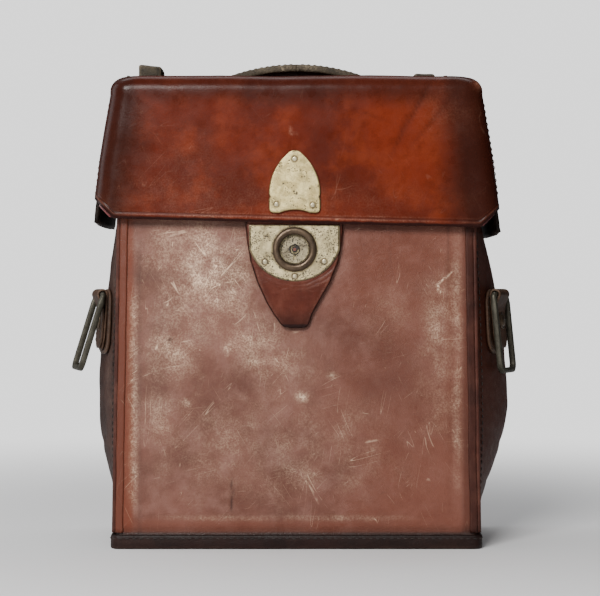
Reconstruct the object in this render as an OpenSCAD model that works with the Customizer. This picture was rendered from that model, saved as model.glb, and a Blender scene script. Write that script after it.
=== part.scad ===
// Vintage soft-sided leather camera carrying case, upright, base on z = 0, front towards -Y.
// The hooded lid hinges at the back top edge. A leather tongue with a plate drops over the lock.

/* [Case body] */
// Height from the table to the top of the lid
total_h = 246; // [220:1:270]
// Depth over the front and back leather panels
body_d = 90; // [70:1:120]
// Width of the front panel at the base
base_w = 191; // [170:1:210]
// Width of the front panel at the mouth
mouth_w = 184; // [165:1:205]
// Height of the body's mouth
mouth_z = 222; // [200:1:232]
// Outward bulge of the left gusset
bulge_left = 14.5; // [4:0.5:24]
// Outward bulge of the right gusset
bulge_right = 22; // [4:0.5:24]
// Height where the gussets bulge most
bulge_z = 77; // [60:1:100]
// Depth position of the gussets' fullest line
bulge_y = 12; // [-10:1:20]
// Leather thickness of panels and gussets
hide_t = 1.6; // [1.2:0.1:2.4]
// Thickness of the stiffening boards
board_t = 2; // [1:0.1:3]
// Thickness of the cloth lining
cloth_t = 0.5; // [0.3:0.1:1]

/* [Lid] */
// Height of the lid's lower edge at the middle of the front
lid_edge_z = 169.3; // [150:0.1:190]
// Sideways slope of that edge, mm per mm
lid_edge_slope = 0.024; // [0:0.002:0.05]
// Half width of the lid at its lower edge
lid_half_low = 107.2; // [100:0.1:112]
// Half width of the lid just under its top
lid_half_top = 97; // [92:0.1:104]
// Gap between the front panel and the lid's lining
lid_gap = 3.6; // [3:0.1:6]

/* [Lock and tongue] */
// Height of the lock's centre
lock_z = 155.7; // [150:0.1:165]
// Sideways position of the lock's centre
lock_x = -1; // [-10:0.5:10]
// Radius of the plate on the tongue
plate_r = 25; // [20:0.1:30]
// Height of the plate's centre
plate_z = 164; // [155:0.5:170]
// Thickness of the tongue leather
tongue_t = 2.2; // [1.5:0.1:3]
// Height of the tongue's tip
tongue_tip_z = 115; // [105:0.5:130]
// Radius of the fixed lock boss
boss_r = 7.2; // [6:0.1:8]

/* [Carrying handle] */
// Width of the handle strap
strap_w = 20; // [16:1:26]
// Height of the grip's crown above the lid
crown_h = 11; // [8:0.5:16]
// Bend radius of the grip's outer face
grip_r = 104; // [90:1:120]
// Thickness of the doubled grip
grip_t = 4.7; // [3.5:0.1:6]
// Thickness of the single end straps
end_t = 2.8; // [2:0.1:3.2]

/* [Strap rings] */
// Height of the side lugs' middle
lug_z = 118; // [100:1:140]
// Depth position of the side lugs
lug_y = -20; // [-30:1:10]
// Width of the chape strap
chape_w = 18; // [14:0.5:22]
// Length of the hanging ring from its pivot bar
ring_len = 42; // [36:1:46]
// Outward swing of the left ring as it rests
left_swing = 13; // [0:1:40]

/* [Hidden] */
$fn = 64;

hide = [0.33, 0.17, 0.12];
lid_hide = [0.36, 0.14, 0.09];
dark_hide = [0.17, 0.09, 0.07];
strap_hide = [0.16, 0.13, 0.09];
cloth = [0.45, 0.10, 0.10];
card = [0.55, 0.44, 0.30];
nickel = [0.78, 0.73, 0.62];
bronze = [0.33, 0.26, 0.19];
iron = [0.14, 0.13, 0.12];

front_y = -body_d / 2;
back_y = body_d / 2;
inner_y = body_d / 2 - hide_t;
board_y = inner_y - board_t;
lining_y = board_y - cloth_t;
fit = 0.12;

function half_w(z) = base_w / 2 - (base_w - mouth_w) / 2 * z / mouth_z;
function swell(z) = z < 8 ? 0 : z < bulge_z ? pow(sin(90 * (z - 8) / (bulge_z - 8)), 1.2)
    : z < 200 ? cos(90 * (z - bulge_z) / (200 - bulge_z)) : 0;
function across(y) = y < bulge_y ? cos(90 * (bulge_y - y) / (bulge_y + inner_y))
    : cos(90 * (y - bulge_y) / (inner_y - bulge_y));
function gusset_x(y, z, b) = half_w(z) - 0.2 + b * swell(z) * max(0, across(y));

// A flat shape drawn in X and Z, filled between two depths
module slab_xz(y_front, y_rear) {
    translate([0, y_rear, 0])
    rotate([90, 0, 0])
    linear_extrude(y_rear - y_front)
    children();
}

// A disc or hole along Y
module rod_y(x, z, r, y_front, y_rear) {
    translate([x, y_rear, z])
    rotate([90, 0, 0])
    cylinder(r = r, h = y_rear - y_front);
}

module panel_shape(inset, z_low, z_high) {
    polygon([
        [-half_w(z_low) + inset, z_low], [half_w(z_low) - inset, z_low],
        [half_w(z_high) - inset, z_high], [-half_w(z_high) + inset, z_high]]);
}

module rounded_box(half_x, y_front, y_rear, r, z_low, z_high) {
    translate([-half_x, y_front + r, z_low])
    cube([2 * half_x, y_rear - y_front - 2 * r, z_high - z_low]);
    translate([-half_x + r, y_front, z_low])
    cube([2 * half_x - 2 * r, y_rear - y_front, z_high - z_low]);
    for (sx = [-1, 1], y = [y_front + r, y_rear - r])
        translate([sx * (half_x - r), y, z_low])
        cylinder(r = r, h = z_high - z_low);
}

// ---- Case body ----
panel_low = hide_t;
rivet_r = 1.3;
lock_rivets_at = [[-17, 9], [17, 9], [0, -17.5]];

module lock_holes(y_front, y_rear) {
    for (p = lock_rivets_at)
        rod_y(lock_x + p[0], lock_z + p[1], rivet_r + fit, y_front, y_rear);
}

module front_panel() {
    color(hide)
    difference() {
        slab_xz(front_y, -inner_y) panel_shape(0.2, panel_low, mouth_z);
        lock_holes(front_y - 1, -inner_y + 1);
    }
}

module front_board() {
    color(card)
    difference() {
        slab_xz(-inner_y, -board_y) panel_shape(10, panel_low + board_t + cloth_t + 0.3, mouth_z - 1);
        lock_holes(-inner_y - 1, -board_y + 1);
    }
}

module back_panel() {
    color(hide)
    slab_xz(inner_y, back_y) panel_shape(0.2, panel_low, hinge_z - 4.5);
}

module back_board() {
    color(card)
    slab_xz(board_y, inner_y) panel_shape(10, panel_low + board_t + cloth_t + 0.3, mouth_z - 1);
}

// Bulged side wall: a grid of points over depth and height, skinned inside and out
gusset_rows = 30;
gusset_cols = 16;
module gusset_skin(b) {
    rows = gusset_rows;
    cols = gusset_cols;
    layer = (rows + 1) * (cols + 1);
    top = mouth_z;
    pts = [for (s = [0, 1]) for (i = [0:rows]) for (j = [0:cols])
        let (z = panel_low + (top - panel_low) * i / rows, y = -inner_y + 2 * inner_y * j / cols)
        [gusset_x(y, z, b) - s * hide_t, y, z]];
    outer_faces = [for (i = [0:rows - 1]) for (j = [0:cols - 1])
        let (a = i * (cols + 1) + j) for (f = [
            [a, a + cols + 1, a + cols + 2], [a, a + cols + 2, a + 1]]) f];
    inner_faces = [for (f = outer_faces) [f[2] + layer, f[1] + layer, f[0] + layer]];
    low_edge = [for (j = [0:cols - 1]) for (f = [[j, j + 1, j + 1 + layer], [j, j + 1 + layer, j + layer]]) f];
    high_edge = [for (j = [0:cols - 1]) let (a = rows * (cols + 1) + j)
        for (f = [[a + 1, a, a + layer], [a + 1, a + layer, a + 1 + layer]]) f];
    front_edge = [for (i = [0:rows - 1]) let (a = i * (cols + 1), n = a + cols + 1)
        for (f = [[n, a, a + layer], [n, a + layer, n + layer]]) f];
    rear_edge = [for (i = [0:rows - 1]) let (a = i * (cols + 1) + cols, n = a + cols + 1)
        for (f = [[a, n, n + layer], [a, n + layer, a + layer]]) f];
    polyhedron(pts, concat(outer_faces, inner_faces, low_edge, high_edge, front_edge, rear_edge),
        convexity = 6);
}

module right_gusset() {
    color(dark_hide) gusset_skin(bulge_right);
}

module left_gusset() {
    color(dark_hide) mirror([1, 0, 0]) gusset_skin(bulge_left);
}

// Narrow seam strips where the panels meet the gussets, front and rear
module welts() {
    low = 8.2;
    high = mouth_z - 6;
    strip = 5;
    for (y = [front_y - 0.9, back_y])
        slab_xz(y, y + 0.9)
        polygon([
            [half_w(low) - strip, low], [half_w(low) - 0.2, low],
            [half_w(high) - 0.2, high], [half_w(high) - strip, high]]);
}

module right_welts() {
    color(dark_hide) welts();
}

module left_welts() {
    color(dark_hide) mirror([1, 0, 0]) welts();
}

band_t = 1.5;
band_h = 7.4;
module base_panel() {
    color(dark_hide) rounded_box(base_w / 2, front_y, back_y, 3, 0, hide_t);
}

module base_board() {
    color(card)
    translate([-base_w / 2 + 4, -board_y, hide_t])
    cube([base_w - 8, 2 * board_y, board_t]);
}

module base_band() {
    color(lid_hide)
    difference() {
        rounded_box(base_w / 2 + band_t, front_y - band_t, back_y + band_t, 5, 0, band_h);
        rounded_box(base_w / 2, front_y, back_y, 0.2, -1, band_h + 1);
    }
}

module body_lining() {
    color(cloth)
    union() {
        difference() {
            slab_xz(-board_y, -lining_y) panel_shape(10, hide_t + board_t, mouth_z - 1);
            lock_holes(-board_y - 1, -lining_y + 1);
        }
        slab_xz(lining_y, board_y) panel_shape(10, hide_t + board_t, mouth_z - 1);
        translate([-base_w / 2 + 10.5, -lining_y, hide_t + board_t])
        cube([base_w - 21, 2 * lining_y, cloth_t]);
    }
}

// Folded leather edge over the front panel's top, inside and out
module mouth_binding() {
    color(dark_hide)
    difference() {
        translate([0, 0, mouth_z - 7])
        slab_xz_box(half_w(mouth_z) - 8, front_y - 0.8, -lining_y + 0.8, 8);
        translate([0, 0, mouth_z - 8])
        slab_xz_box(half_w(mouth_z) - 7, front_y, -lining_y, 8);
    }
}

module slab_xz_box(half_x, y_front, y_rear, h) {
    translate([-half_x, y_front, 0])
    cube([2 * half_x, y_rear - y_front, h]);
}

// ---- Lid hinge ----
hinge_y = back_y + 0.7;
hinge_z = total_h - 1.2;
hinge_half = 84;
module hinge_strip() {
    color(dark_hide)
    union() {
        translate([-hinge_half, back_y, 206])
        cube([2 * hinge_half, 1.4, hinge_z - 206]);
        translate([-hinge_half, hinge_y, hinge_z])
        rotate([0, 90, 0])
        cylinder(r = 0.7, h = 2 * hinge_half);
    }
}

// ---- Lock on the body ----
plate_t = 0.8;
boss_front = front_y - plate_t - 1.3;
slot_front = boss_front + 0.35;
slot_rear = front_y - plate_t;

module lock_base_plate() {
    color(nickel)
    difference() {
        rod_y(lock_x, lock_z, 22, front_y - plate_t, front_y);
        lock_holes(front_y - plate_t - 1, front_y + 1);
    }
}

// Fixed boss: a rim and face with a keyhole, hollow behind for the cam and bolt
module lock_boss() {
    color(nickel)
    difference() {
        rod_y(lock_x, lock_z, boss_r, boss_front, slot_rear);
        rod_y(lock_x, lock_z, 2.5, boss_front - 1, slot_rear + 1);
        translate([lock_x - 0.7, boss_front - 1, lock_z - 5.2])
        cube([1.4, slot_rear - boss_front + 2, 4]);
        rod_y(lock_x, lock_z, 3.6, slot_front, slot_rear + 1);
        translate([lock_x - 2.6, slot_front, lock_z])
        cube([5.2, slot_rear - slot_front + 1, boss_r + 1]);
    }
}

module key_pin() {
    color(bronze)
    rod_y(lock_x, lock_z, 0.8, boss_front + 0.1, front_y - plate_t);
}

// Spiral cam: its radius grows by the bolt's travel over a quarter turn
cam_low = 1.5;
bolt_travel = 2;
bolt_front = slot_front + 0.08;
bolt_rear = slot_rear - 0.08;
module lock_cam() {
    color(iron)
    translate([lock_x, bolt_rear, lock_z])
    rotate([90, 0, 0])
    linear_extrude(bolt_rear - bolt_front)
    difference() {
        polygon(concat(
            [for (a = [0:6:90]) [sin(a - 8), cos(a - 8)] * (cam_low + bolt_travel * a / 90)],
            [for (a = [96:12:348]) [sin(a - 8), cos(a - 8)] * cam_low]));
        circle(r = 0.86);
    }
}

// Latch bolt, drawn in, with a narrow foot that rides on the cam
module lock_bolt() {
    foot = cam_low + 0.6;
    color(iron)
    union() {
        translate([lock_x - 2.5, bolt_front, lock_z + 4.2])
        cube([5, bolt_rear - bolt_front, 2.2]);
        translate([lock_x - 0.5, bolt_front, lock_z + foot])
        cube([1, bolt_rear - bolt_front, 2.6]);
    }
}

module lock_back_plate() {
    color(iron)
    difference() {
        rod_y(lock_x, lock_z, 21, -lining_y, -lining_y + 0.8);
        lock_holes(-lining_y - 1, -lining_y + 2);
    }
}

module lock_rivets() {
    color(nickel)
    for (p = lock_rivets_at)
        union() {
            rod_y(lock_x + p[0], lock_z + p[1], rivet_r, front_y - plate_t, -lining_y + 1.6);
            rod_y(lock_x + p[0], lock_z + p[1], 2.3, -lining_y + 0.8, -lining_y + 1.6);
        }
}

// ---- Side lugs and rings, drawn with +X outward ----
chape_back = 1.5;
chape_t = 2.4;
bar_r = 1.45;
pivot_x = 4.6;
pivot_z = 14;
loop_r = 3.1;
ring_in = chape_w / 2 + 1.3;
ring_bar = 3;
ring_t = 3.2;

function lug_x(b) = gusset_x(lug_y, lug_z, b) + 0.35;
quarter = PI / 2;
// Slopes of the gusset where the lug sits: across the depth, then down the height
function lug_tilt(b) = atan(b * swell(lug_z) * sin(90 * (bulge_y - lug_y) / (bulge_y + inner_y))
    * quarter / (bulge_y + inner_y));
function lug_lean(b) = atan(b * across(lug_y) * sin(90 * (lug_z - bulge_z) / (200 - bulge_z))
    * quarter / (200 - bulge_z) + (base_w - mouth_w) / 2 / mouth_z);

module place_lug(b, side) {
    mirror([side < 0 ? 1 : 0, 0, 0])
    translate([lug_x(b), lug_y, lug_z])
    rotate([0, 0, -lug_tilt(b)])
    rotate([0, -lug_lean(b), 0])
    children();
}

module lug_patch_shape() {
    difference() {
        union() {
            translate([0, -13, -11]) cube([1.4, 26, 22]);
            translate([0, -7, -17]) cube([1.4, 14, 34]);
            for (y = [-7, 7], z = [-11, 11])
                translate([0, y, z]) rotate([0, 90, 0]) cylinder(r = 6, h = 1.4);
        }
        translate([-1, 0, 0]) rotate([0, 90, 0]) cylinder(r = 1.8 + fit, h = 4);
    }
}

module lug_chape_shape() {
    difference() {
        union() {
            translate([chape_back, -chape_w / 2, -12]) cube([chape_t, chape_w, 24]);
            translate([chape_back, -chape_w / 2 + 4, -16]) cube([chape_t, chape_w - 8, 8]);
            for (y = [-chape_w / 2 + 4, chape_w / 2 - 4])
                translate([chape_back, y, -12]) rotate([0, 90, 0]) cylinder(r = 4, h = chape_t);
            translate([pivot_x, -chape_w / 2, pivot_z])
            rotate([-90, 0, 0]) cylinder(r = loop_r, h = chape_w);
        }
        translate([pivot_x, -chape_w, pivot_z])
        rotate([-90, 0, 0]) cylinder(r = bar_r + 0.32, h = 2 * chape_w);
        translate([0, 0, 0]) rotate([0, 90, 0]) cylinder(r = 1.8 + fit, h = 9);
    }
}

module lug_rivet_shape() {
    rotate([0, 90, 0]) cylinder(r = 1.8, h = 5.4);
    translate([chape_back + chape_t, 0, 0]) rotate([0, 90, 0]) cylinder(r = 4.5, h = 0.7);
    translate([chape_back + chape_t + 0.7, 0, 0]) rotate([0, 90, 0]) cylinder(r1 = 3.6, r2 = 2.6, h = 0.9);
}

module ring_shape(swing) {
    translate([pivot_x, 0, pivot_z])
    rotate([0, -swing, 0])
    union() {
        translate([0, -ring_in - ring_bar / 2, 0])
        rotate([-90, 0, 0]) cylinder(r = bar_r, h = 2 * ring_in + ring_bar);
        for (s = [-1, 1])
            translate([-ring_t / 2, s * (ring_in + ring_bar / 2) - ring_bar / 2, -ring_len + 4])
            cube([ring_t, ring_bar, ring_len - 4]);
        for (s = [-1, 1])
            translate([0, s * (ring_in + ring_bar / 2) - ring_bar / 2, 0])
            rotate([-90, 0, 0]) cylinder(r = ring_t / 2, h = ring_bar);
        translate([-ring_t / 2, -ring_in + 2.5, -ring_len]) cube([ring_t, 2 * ring_in - 5, ring_bar]);
        for (s = [-1, 1])
            intersection() {
                translate([-ring_t / 2, s * (ring_in - 2.5), -ring_len + 5.5])
                rotate([0, 90, 0])
                difference() {
                    cylinder(r = 5.5, h = ring_t);
                    translate([0, 0, -1]) cylinder(r = 2.5, h = 5);
                }
                translate([-3, s > 0 ? ring_in - 2.6 : -ring_in - 3.4, -ring_len - 1]) cube([6, 6, 7]);
            }
    }
}

module left_lug_patch() {
    color(hide) place_lug(bulge_left, -1) lug_patch_shape();
}

module left_lug_chape() {
    color(dark_hide) place_lug(bulge_left, -1) lug_chape_shape();
}

module left_lug_rivet() {
    color(nickel) place_lug(bulge_left, -1) lug_rivet_shape();
}

module right_lug_patch() {
    color(hide) place_lug(bulge_right, 1) lug_patch_shape();
}

module right_lug_chape() {
    color(dark_hide) place_lug(bulge_right, 1) lug_chape_shape();
}

module right_lug_rivet() {
    color(nickel) place_lug(bulge_right, 1) lug_rivet_shape();
}

module left_ring() {
    color(iron) place_lug(bulge_left, -1) ring_shape(left_swing);
}

module right_ring() {
    color(iron) place_lug(bulge_right, 1) ring_shape(0);
}

// ---- Lid ----
lid_skin = 1.4;
lid_board = 1.2;
lid_cloth = 0.4;
lid_wall = lid_skin + lid_board + lid_cloth;
lid_front = front_y - lid_gap - lid_wall;
lid_rear = back_y;
fold_r = 8;
end_y = -36;
shoulder_z = total_h - fold_r - 2;

function lid_half(z) = lid_half_top + (lid_half_low - lid_half_top) * pow((shoulder_z - min(z, shoulder_z)) / 70, 0.8);

// One level of the hood's solid: a rounded rectangle, thin in Z
module lid_level(z, inset, t, rear) {
    half = lid_half(z) - inset - t;
    r = 10 - min(t, 4);
    for (s = [-1, 1]) {
        translate([s * (half - r), lid_front + inset + t + r, z]) cylinder(r = r, h = 0.02, $fn = 32);
        translate([s * (half - 1) - 1, rear - 2, z]) cube([2, 2, 0.02]);
    }
}

// Solid hood, shrunk by t on the outside faces
module hood(t, z_low, rear) {
    r = fold_r - min(t, 3);
    hull() {
        lid_level(z_low, 0, t, rear);
        lid_level(200, 0, t, rear);
        lid_level(shoulder_z, 0, t, rear);
        for (a = [15:15:90])
            lid_level(total_h - t - r + r * sin(a) - 0.02, r * (1 - cos(a)), t, rear);
    }
}

low_cut = 160;
// Everything above the hood's sloped lower edge, raised by dz
module above_edge(dz) {
    slab_xz(-80, 80)
    polygon([
        [-120, lid_edge_z + 120 * lid_edge_slope + dz], [120, lid_edge_z - 120 * lid_edge_slope + dz],
        [120, 300], [-120, 300]]);
}

// The hood's side walls, a box each side
module end_zone(side, z_high) {
    translate([side > 0 ? 80 : -140, end_y, 100]) cube([60, 120, z_high - 100]);
}

// Diagonal cut at the cover's two lower corners
module corner_cuts() {
    for (s = [-1, 1])
        slab_xz(-80, end_y + 1)
        polygon([
            [s * 95, lid_edge_z - s * 95 * lid_edge_slope - 1], [s * 120, lid_edge_z - s * 95 * lid_edge_slope + 24],
            [s * 120, 150], [s * 95, 150]]);
}

upper_rivets_at = [[-1, 202.2], [-10.3, 178.8], [8.4, 178.4]];
module lid_rivet_holes() {
    for (p = upper_rivets_at)
        rod_y(p[0], p[1], rivet_r + fit, lid_front - 2, front_y + 2);
}

module lid_layer(t0, t1) {
    difference() {
        intersection() {
            hood(t0, low_cut, lid_rear);
            above_edge(t0 > 0 ? 0.8 : 0);
        }
        hood(t1, low_cut - 5, lid_rear + 12);
    }
}

module lid_cover() {
    color(lid_hide)
    difference() {
        lid_layer(0, lid_skin);
        end_zone(1, shoulder_z);
        end_zone(-1, shoulder_z);
        corner_cuts();
        lid_rivet_holes();
        keeper_holes();
    }
}

module lid_end(side) {
    intersection() {
        difference() {
            hood(0, low_cut, lid_rear);
            hood(lid_wall, low_cut - 5, lid_rear + 12);
        }
        above_edge(-1.2);
        end_zone(side, shoulder_z);
    }
}

module lid_left_end() {
    color(dark_hide) lid_end(-1);
}

module lid_right_end() {
    color(dark_hide) lid_end(1);
}

module lid_top_board() {
    color(card)
    difference() {
        lid_layer(lid_skin, lid_skin + lid_board);
        translate([-150, -80, 100]) cube([300, 160, shoulder_z - 100]);
        keeper_holes();
    }
}

module lid_front_board() {
    color(card)
    difference() {
        intersection() {
            lid_layer(lid_skin, lid_skin + lid_board);
            translate([-88, lid_front, 150]) cube([176, 12, shoulder_z - 150]);
        }
        lid_rivet_holes();
    }
}

module lid_lining() {
    color(cloth)
    difference() {
        lid_layer(lid_skin + lid_board, lid_wall);
        end_zone(1, shoulder_z);
        end_zone(-1, shoulder_z);
        corner_cuts();
        lid_rivet_holes();
        keeper_holes();
    }
}

// Stitched edging along the cover's lower edge, on its outer face
module lid_edge_binding() {
    color(lid_hide)
    slab_xz(lid_front - 0.5, lid_front)
    polygon([
        [-91, lid_edge_z + 91 * lid_edge_slope + 0.3], [91, lid_edge_z - 91 * lid_edge_slope + 0.3],
        [91, lid_edge_z - 91 * lid_edge_slope + 3.6], [-91, lid_edge_z + 91 * lid_edge_slope + 3.6]]);
}

// Bullet-shaped plate with a hollow lower edge
plate_low_z = 174.4;
plate_high = 32.3;
plate_half = 13.4;
plate_top_r = 5;
plate_x = -0.9;
ogive_rise = plate_high - plate_top_r - 10;
ogive_r = (ogive_rise * ogive_rise + plate_half * plate_half - plate_top_r * plate_top_r)
    / (2 * (plate_half - plate_top_r));
ogive_off = ogive_r - plate_half;
module upper_plate() {
    color(nickel)
    difference() {
        slab_xz(lid_front - 1.5, lid_front - 0.5)
        union() {
            translate([plate_x - plate_half, plate_low_z]) square([2 * plate_half, 10]);
            intersection() {
                translate([plate_x - ogive_off, plate_low_z + 10]) circle(r = ogive_r);
                translate([plate_x + ogive_off, plate_low_z + 10]) circle(r = ogive_r);
                translate([plate_x - 20, plate_low_z + 10]) square([40, plate_high - 11.1]);
            }
            translate([plate_x, plate_low_z + plate_high - plate_top_r]) circle(r = plate_top_r);
        }
        rod_y(plate_x, plate_low_z - 18.9, 20.5, lid_front - 2, lid_front);
        for (p = upper_rivets_at)
            rod_y(p[0], p[1], rivet_r + fit, lid_front - 2, lid_front);
    }
}

module upper_plate_rivets() {
    color(nickel)
    for (p = upper_rivets_at)
        union() {
            rod_y(p[0], p[1], rivet_r, lid_front - 1.5, front_y - lid_gap + 2.9);
            rod_y(p[0], p[1], 1.7, lid_front - 2.1, lid_front - 1.5);
            rod_y(p[0], p[1], 2.3, front_y - lid_gap + 2.5, front_y - lid_gap + 3.1);
        }
}

// The tongue's upper end, held under the lid's front by the same rivets
tongue_out = front_y - plate_t - 0.3 - tongue_t;
tongue_top = lid_edge_z - 0.8;
module tongue_root() {
    color(hide)
    difference() {
        slab_xz(front_y - lid_gap, front_y - lid_gap + 2.2)
        polygon([[-27, lid_edge_z + 1], [24, lid_edge_z + 1], [20, 208], [-20, 208]]);
        lid_rivet_holes();
    }
}

// ---- Handle keepers on the lid ----
keeper_left = [-85, -73];
keeper_right = [63.5, 74.5];
keeper_rivet_y = 15.2;
module keeper_holes() {
    for (x = [-79, 69], s = [-1, 1])
        translate([x, s * keeper_rivet_y, total_h - 6]) cylinder(r = 1.2 + fit, h = 12);
}

// Leather loop over the strap, with a flange each side
module keeper(x0, x1, h) {
    inner_y_half = strap_w / 2 + 0.5;
    wall = 1.6;
    difference() {
        union() {
            translate([x0, -inner_y_half - wall, total_h]) cube([x1 - x0, 2 * (inner_y_half + wall), h - 2]);
            translate([x0, -inner_y_half + 0.6, total_h]) cube([x1 - x0, 2 * (inner_y_half - 0.6), h]);
            for (s = [-1, 1])
                translate([x0, s * (inner_y_half - 0.4), total_h + h - 2])
                rotate([0, 90, 0]) cylinder(r = 2, h = x1 - x0);
            translate([x0, -inner_y_half - 8, total_h]) cube([x1 - x0, 2 * (inner_y_half + 8), 1.4]);
        }
        translate([x0 - 1, -inner_y_half, total_h - 1]) cube([x1 - x0 + 2, 2 * inner_y_half, h - 0.9]);
        for (s = [-1, 1])
            translate([(x0 + x1) / 2, s * keeper_rivet_y, total_h - 1]) cylinder(r = 1.2 + fit, h = 4);
    }
}

module left_keeper() {
    color(strap_hide) keeper(keeper_left[0], keeper_left[1], 10.4);
}

module right_keeper() {
    color(strap_hide) keeper(keeper_right[0], keeper_right[1], 5.8);
}

module keeper_rivets() {
    color(bronze)
    for (x = [-79, 69], s = [-1, 1])
        translate([x, s * keeper_rivet_y, 0])
        union() {
            translate([0, 0, total_h - lid_wall - 0.6]) cylinder(r = 1.2, h = lid_wall + 2);
            translate([0, 0, total_h + 1.4]) cylinder(r1 = 2.4, r2 = 1.8, h = 0.8);
            translate([0, 0, total_h - lid_wall - 0.7]) cylinder(r = 2.4, h = 0.6);
        }
}

// ---- Carrying handle ----
crown_z = total_h + crown_h;
arc_z = crown_z - grip_r;
grip_a = 19.5;
cut_a = 32;
foot_r = 30;
foot_x = grip_r * sin(grip_a);
foot_z = arc_z + grip_r * cos(grip_a);
flat_x = foot_x + foot_r * sin(grip_a);
flat_z = foot_z - foot_r * (1 - cos(grip_a));

// Half plane outside the scarf cut, on the right
module outside_cut() {
    translate([foot_x, foot_z])
    rotate(-cut_a)
    translate([0, -60]) square([120, 120]);
}

module arc_band(r_out, r_in, a0, a1) {
    steps = 28;
    polygon(concat(
        [for (i = [0:steps]) let (a = a0 + (a1 - a0) * i / steps) [r_out * sin(a), r_out * cos(a)]],
        [for (i = [steps:-1:0]) let (a = a0 + (a1 - a0) * i / steps) [r_in * sin(a), r_in * cos(a)]]));
}

module handle_grip() {
    color(strap_hide)
    slab_xz(-strap_w / 2 - 1, strap_w / 2 + 1)
    difference() {
        translate([0, arc_z]) arc_band(grip_r, grip_r - grip_t, -grip_a - 1.2, grip_a + 1.2);
        outside_cut();
        mirror([1, 0]) outside_cut();
        translate([-60, total_h - 10]) square([120, 10.35]);
    }
}

// Single strap: a reverse bend, then flat under its keeper, with a doubled stop at its end
module end_strap(stop_x) {
    slab_xz(-strap_w / 2, strap_w / 2)
    union() {
        intersection() {
            union() {
                translate([0, arc_z]) arc_band(grip_r, grip_r - end_t, grip_a - 4, grip_a + 0.02);
                translate([flat_x, flat_z + foot_r]) rotate(180) arc_band(foot_r + end_t, foot_r, -0.02, grip_a);
            }
            outside_cut();
        }
        translate([flat_x - 0.02, flat_z - end_t]) square([stop_x - flat_x + 0.04, end_t]);
    }
    translate([stop_x, -strap_w / 2, flat_z - end_t]) cube([2.4, strap_w, end_t + 1.8]);
}

module handle_right_end() {
    color(strap_hide) end_strap(79);
}

module handle_left_end() {
    color(strap_hide) mirror([1, 0, 0]) end_strap(89.4);
}

// ---- Tongue ----
module tongue_shape() {
    polygon([
        [lock_x - 25.6, tongue_top], [lock_x - 24.9, 160], [lock_x - 23.1, 149.6], [lock_x - 19, 138.7],
        [lock_x - 13.5, 127.8], [lock_x - 10.2, 122.3], [lock_x - 6, tongue_tip_z + 2],
        [lock_x - 3, tongue_tip_z], [lock_x + 5.6, tongue_tip_z], [lock_x + 7.6, tongue_tip_z + 2],
        [lock_x + 9.4, 122.3], [lock_x + 12.4, 127.8], [lock_x + 18.7, 138.7], [lock_x + 23, 149.6],
        [lock_x + 24.8, 160], [lock_x + 25.4, tongue_top]]);
}

tongue_rivets_at = [[-16.3, 149.2], [14.4, 149.4], [-0.9, 141.7]];
module tongue_leather() {
    color(hide)
    difference() {
        slab_xz(tongue_out, tongue_out + tongue_t) tongue_shape();
        rod_y(lock_x, lock_z, 8.6, tongue_out - 1, front_y);
        for (p = tongue_rivets_at)
            rod_y(p[0], p[1], rivet_r + fit, tongue_out - 1, front_y);
    }
}

module tongue_plate() {
    color(nickel)
    difference() {
        intersection() {
            rod_y(lock_x, plate_z, plate_r, tongue_out - 1, tongue_out);
            translate([lock_x - 23.7, -60, 100]) cube([47.4, 30, tongue_top - 100]);
        }
        rod_y(lock_x, lock_z, 7.7, tongue_out - 2, tongue_out + 1);
        for (p = tongue_rivets_at)
            rod_y(p[0], p[1], rivet_r + fit, tongue_out - 2, tongue_out + 1);
    }
}

module tongue_collar() {
    color(bronze)
    translate([lock_x, tongue_out - 1, lock_z])
    rotate([90, 0, 0])
    rotate_extrude()
    polygon([[7.6, 0], [11.4, 0], [11.2, 0.7], [10.2, 1.3], [8.6, 1.3], [7.7, 0.8]]);
}

module tongue_rivets() {
    color(nickel)
    for (p = tongue_rivets_at)
        union() {
            rod_y(p[0], p[1], rivet_r, tongue_out - 1, tongue_out + tongue_t);
            rod_y(p[0], p[1], 1.7, tongue_out - 1.6, tongue_out - 1);
        }
}

front_panel();
front_board();
back_panel();
back_board();
left_gusset();
right_gusset();
left_welts();
right_welts();
base_panel();
base_board();
base_band();
body_lining();
mouth_binding();
hinge_strip();
lock_base_plate();
lock_boss();
key_pin();
lock_back_plate();
lock_rivets();
left_lug_patch();
left_lug_chape();
left_lug_rivet();
right_lug_patch();
right_lug_chape();
right_lug_rivet();
lid_cover();
lid_left_end();
lid_right_end();
lid_top_board();
lid_front_board();
lid_lining();
lid_edge_binding();
upper_plate();
upper_plate_rivets();
tongue_root();
left_keeper();
right_keeper();
keeper_rivets();
tongue_leather();
tongue_plate();
tongue_collar();
tongue_rivets();
lock_cam();
lock_bolt();
handle_grip();
handle_left_end();
handle_right_end();
left_ring();
right_ring();
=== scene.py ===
"""A worn leather camera carrying case: detailed leather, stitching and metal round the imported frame."""
import math

import bpy
import numpy as np
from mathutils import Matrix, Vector, noise


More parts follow.
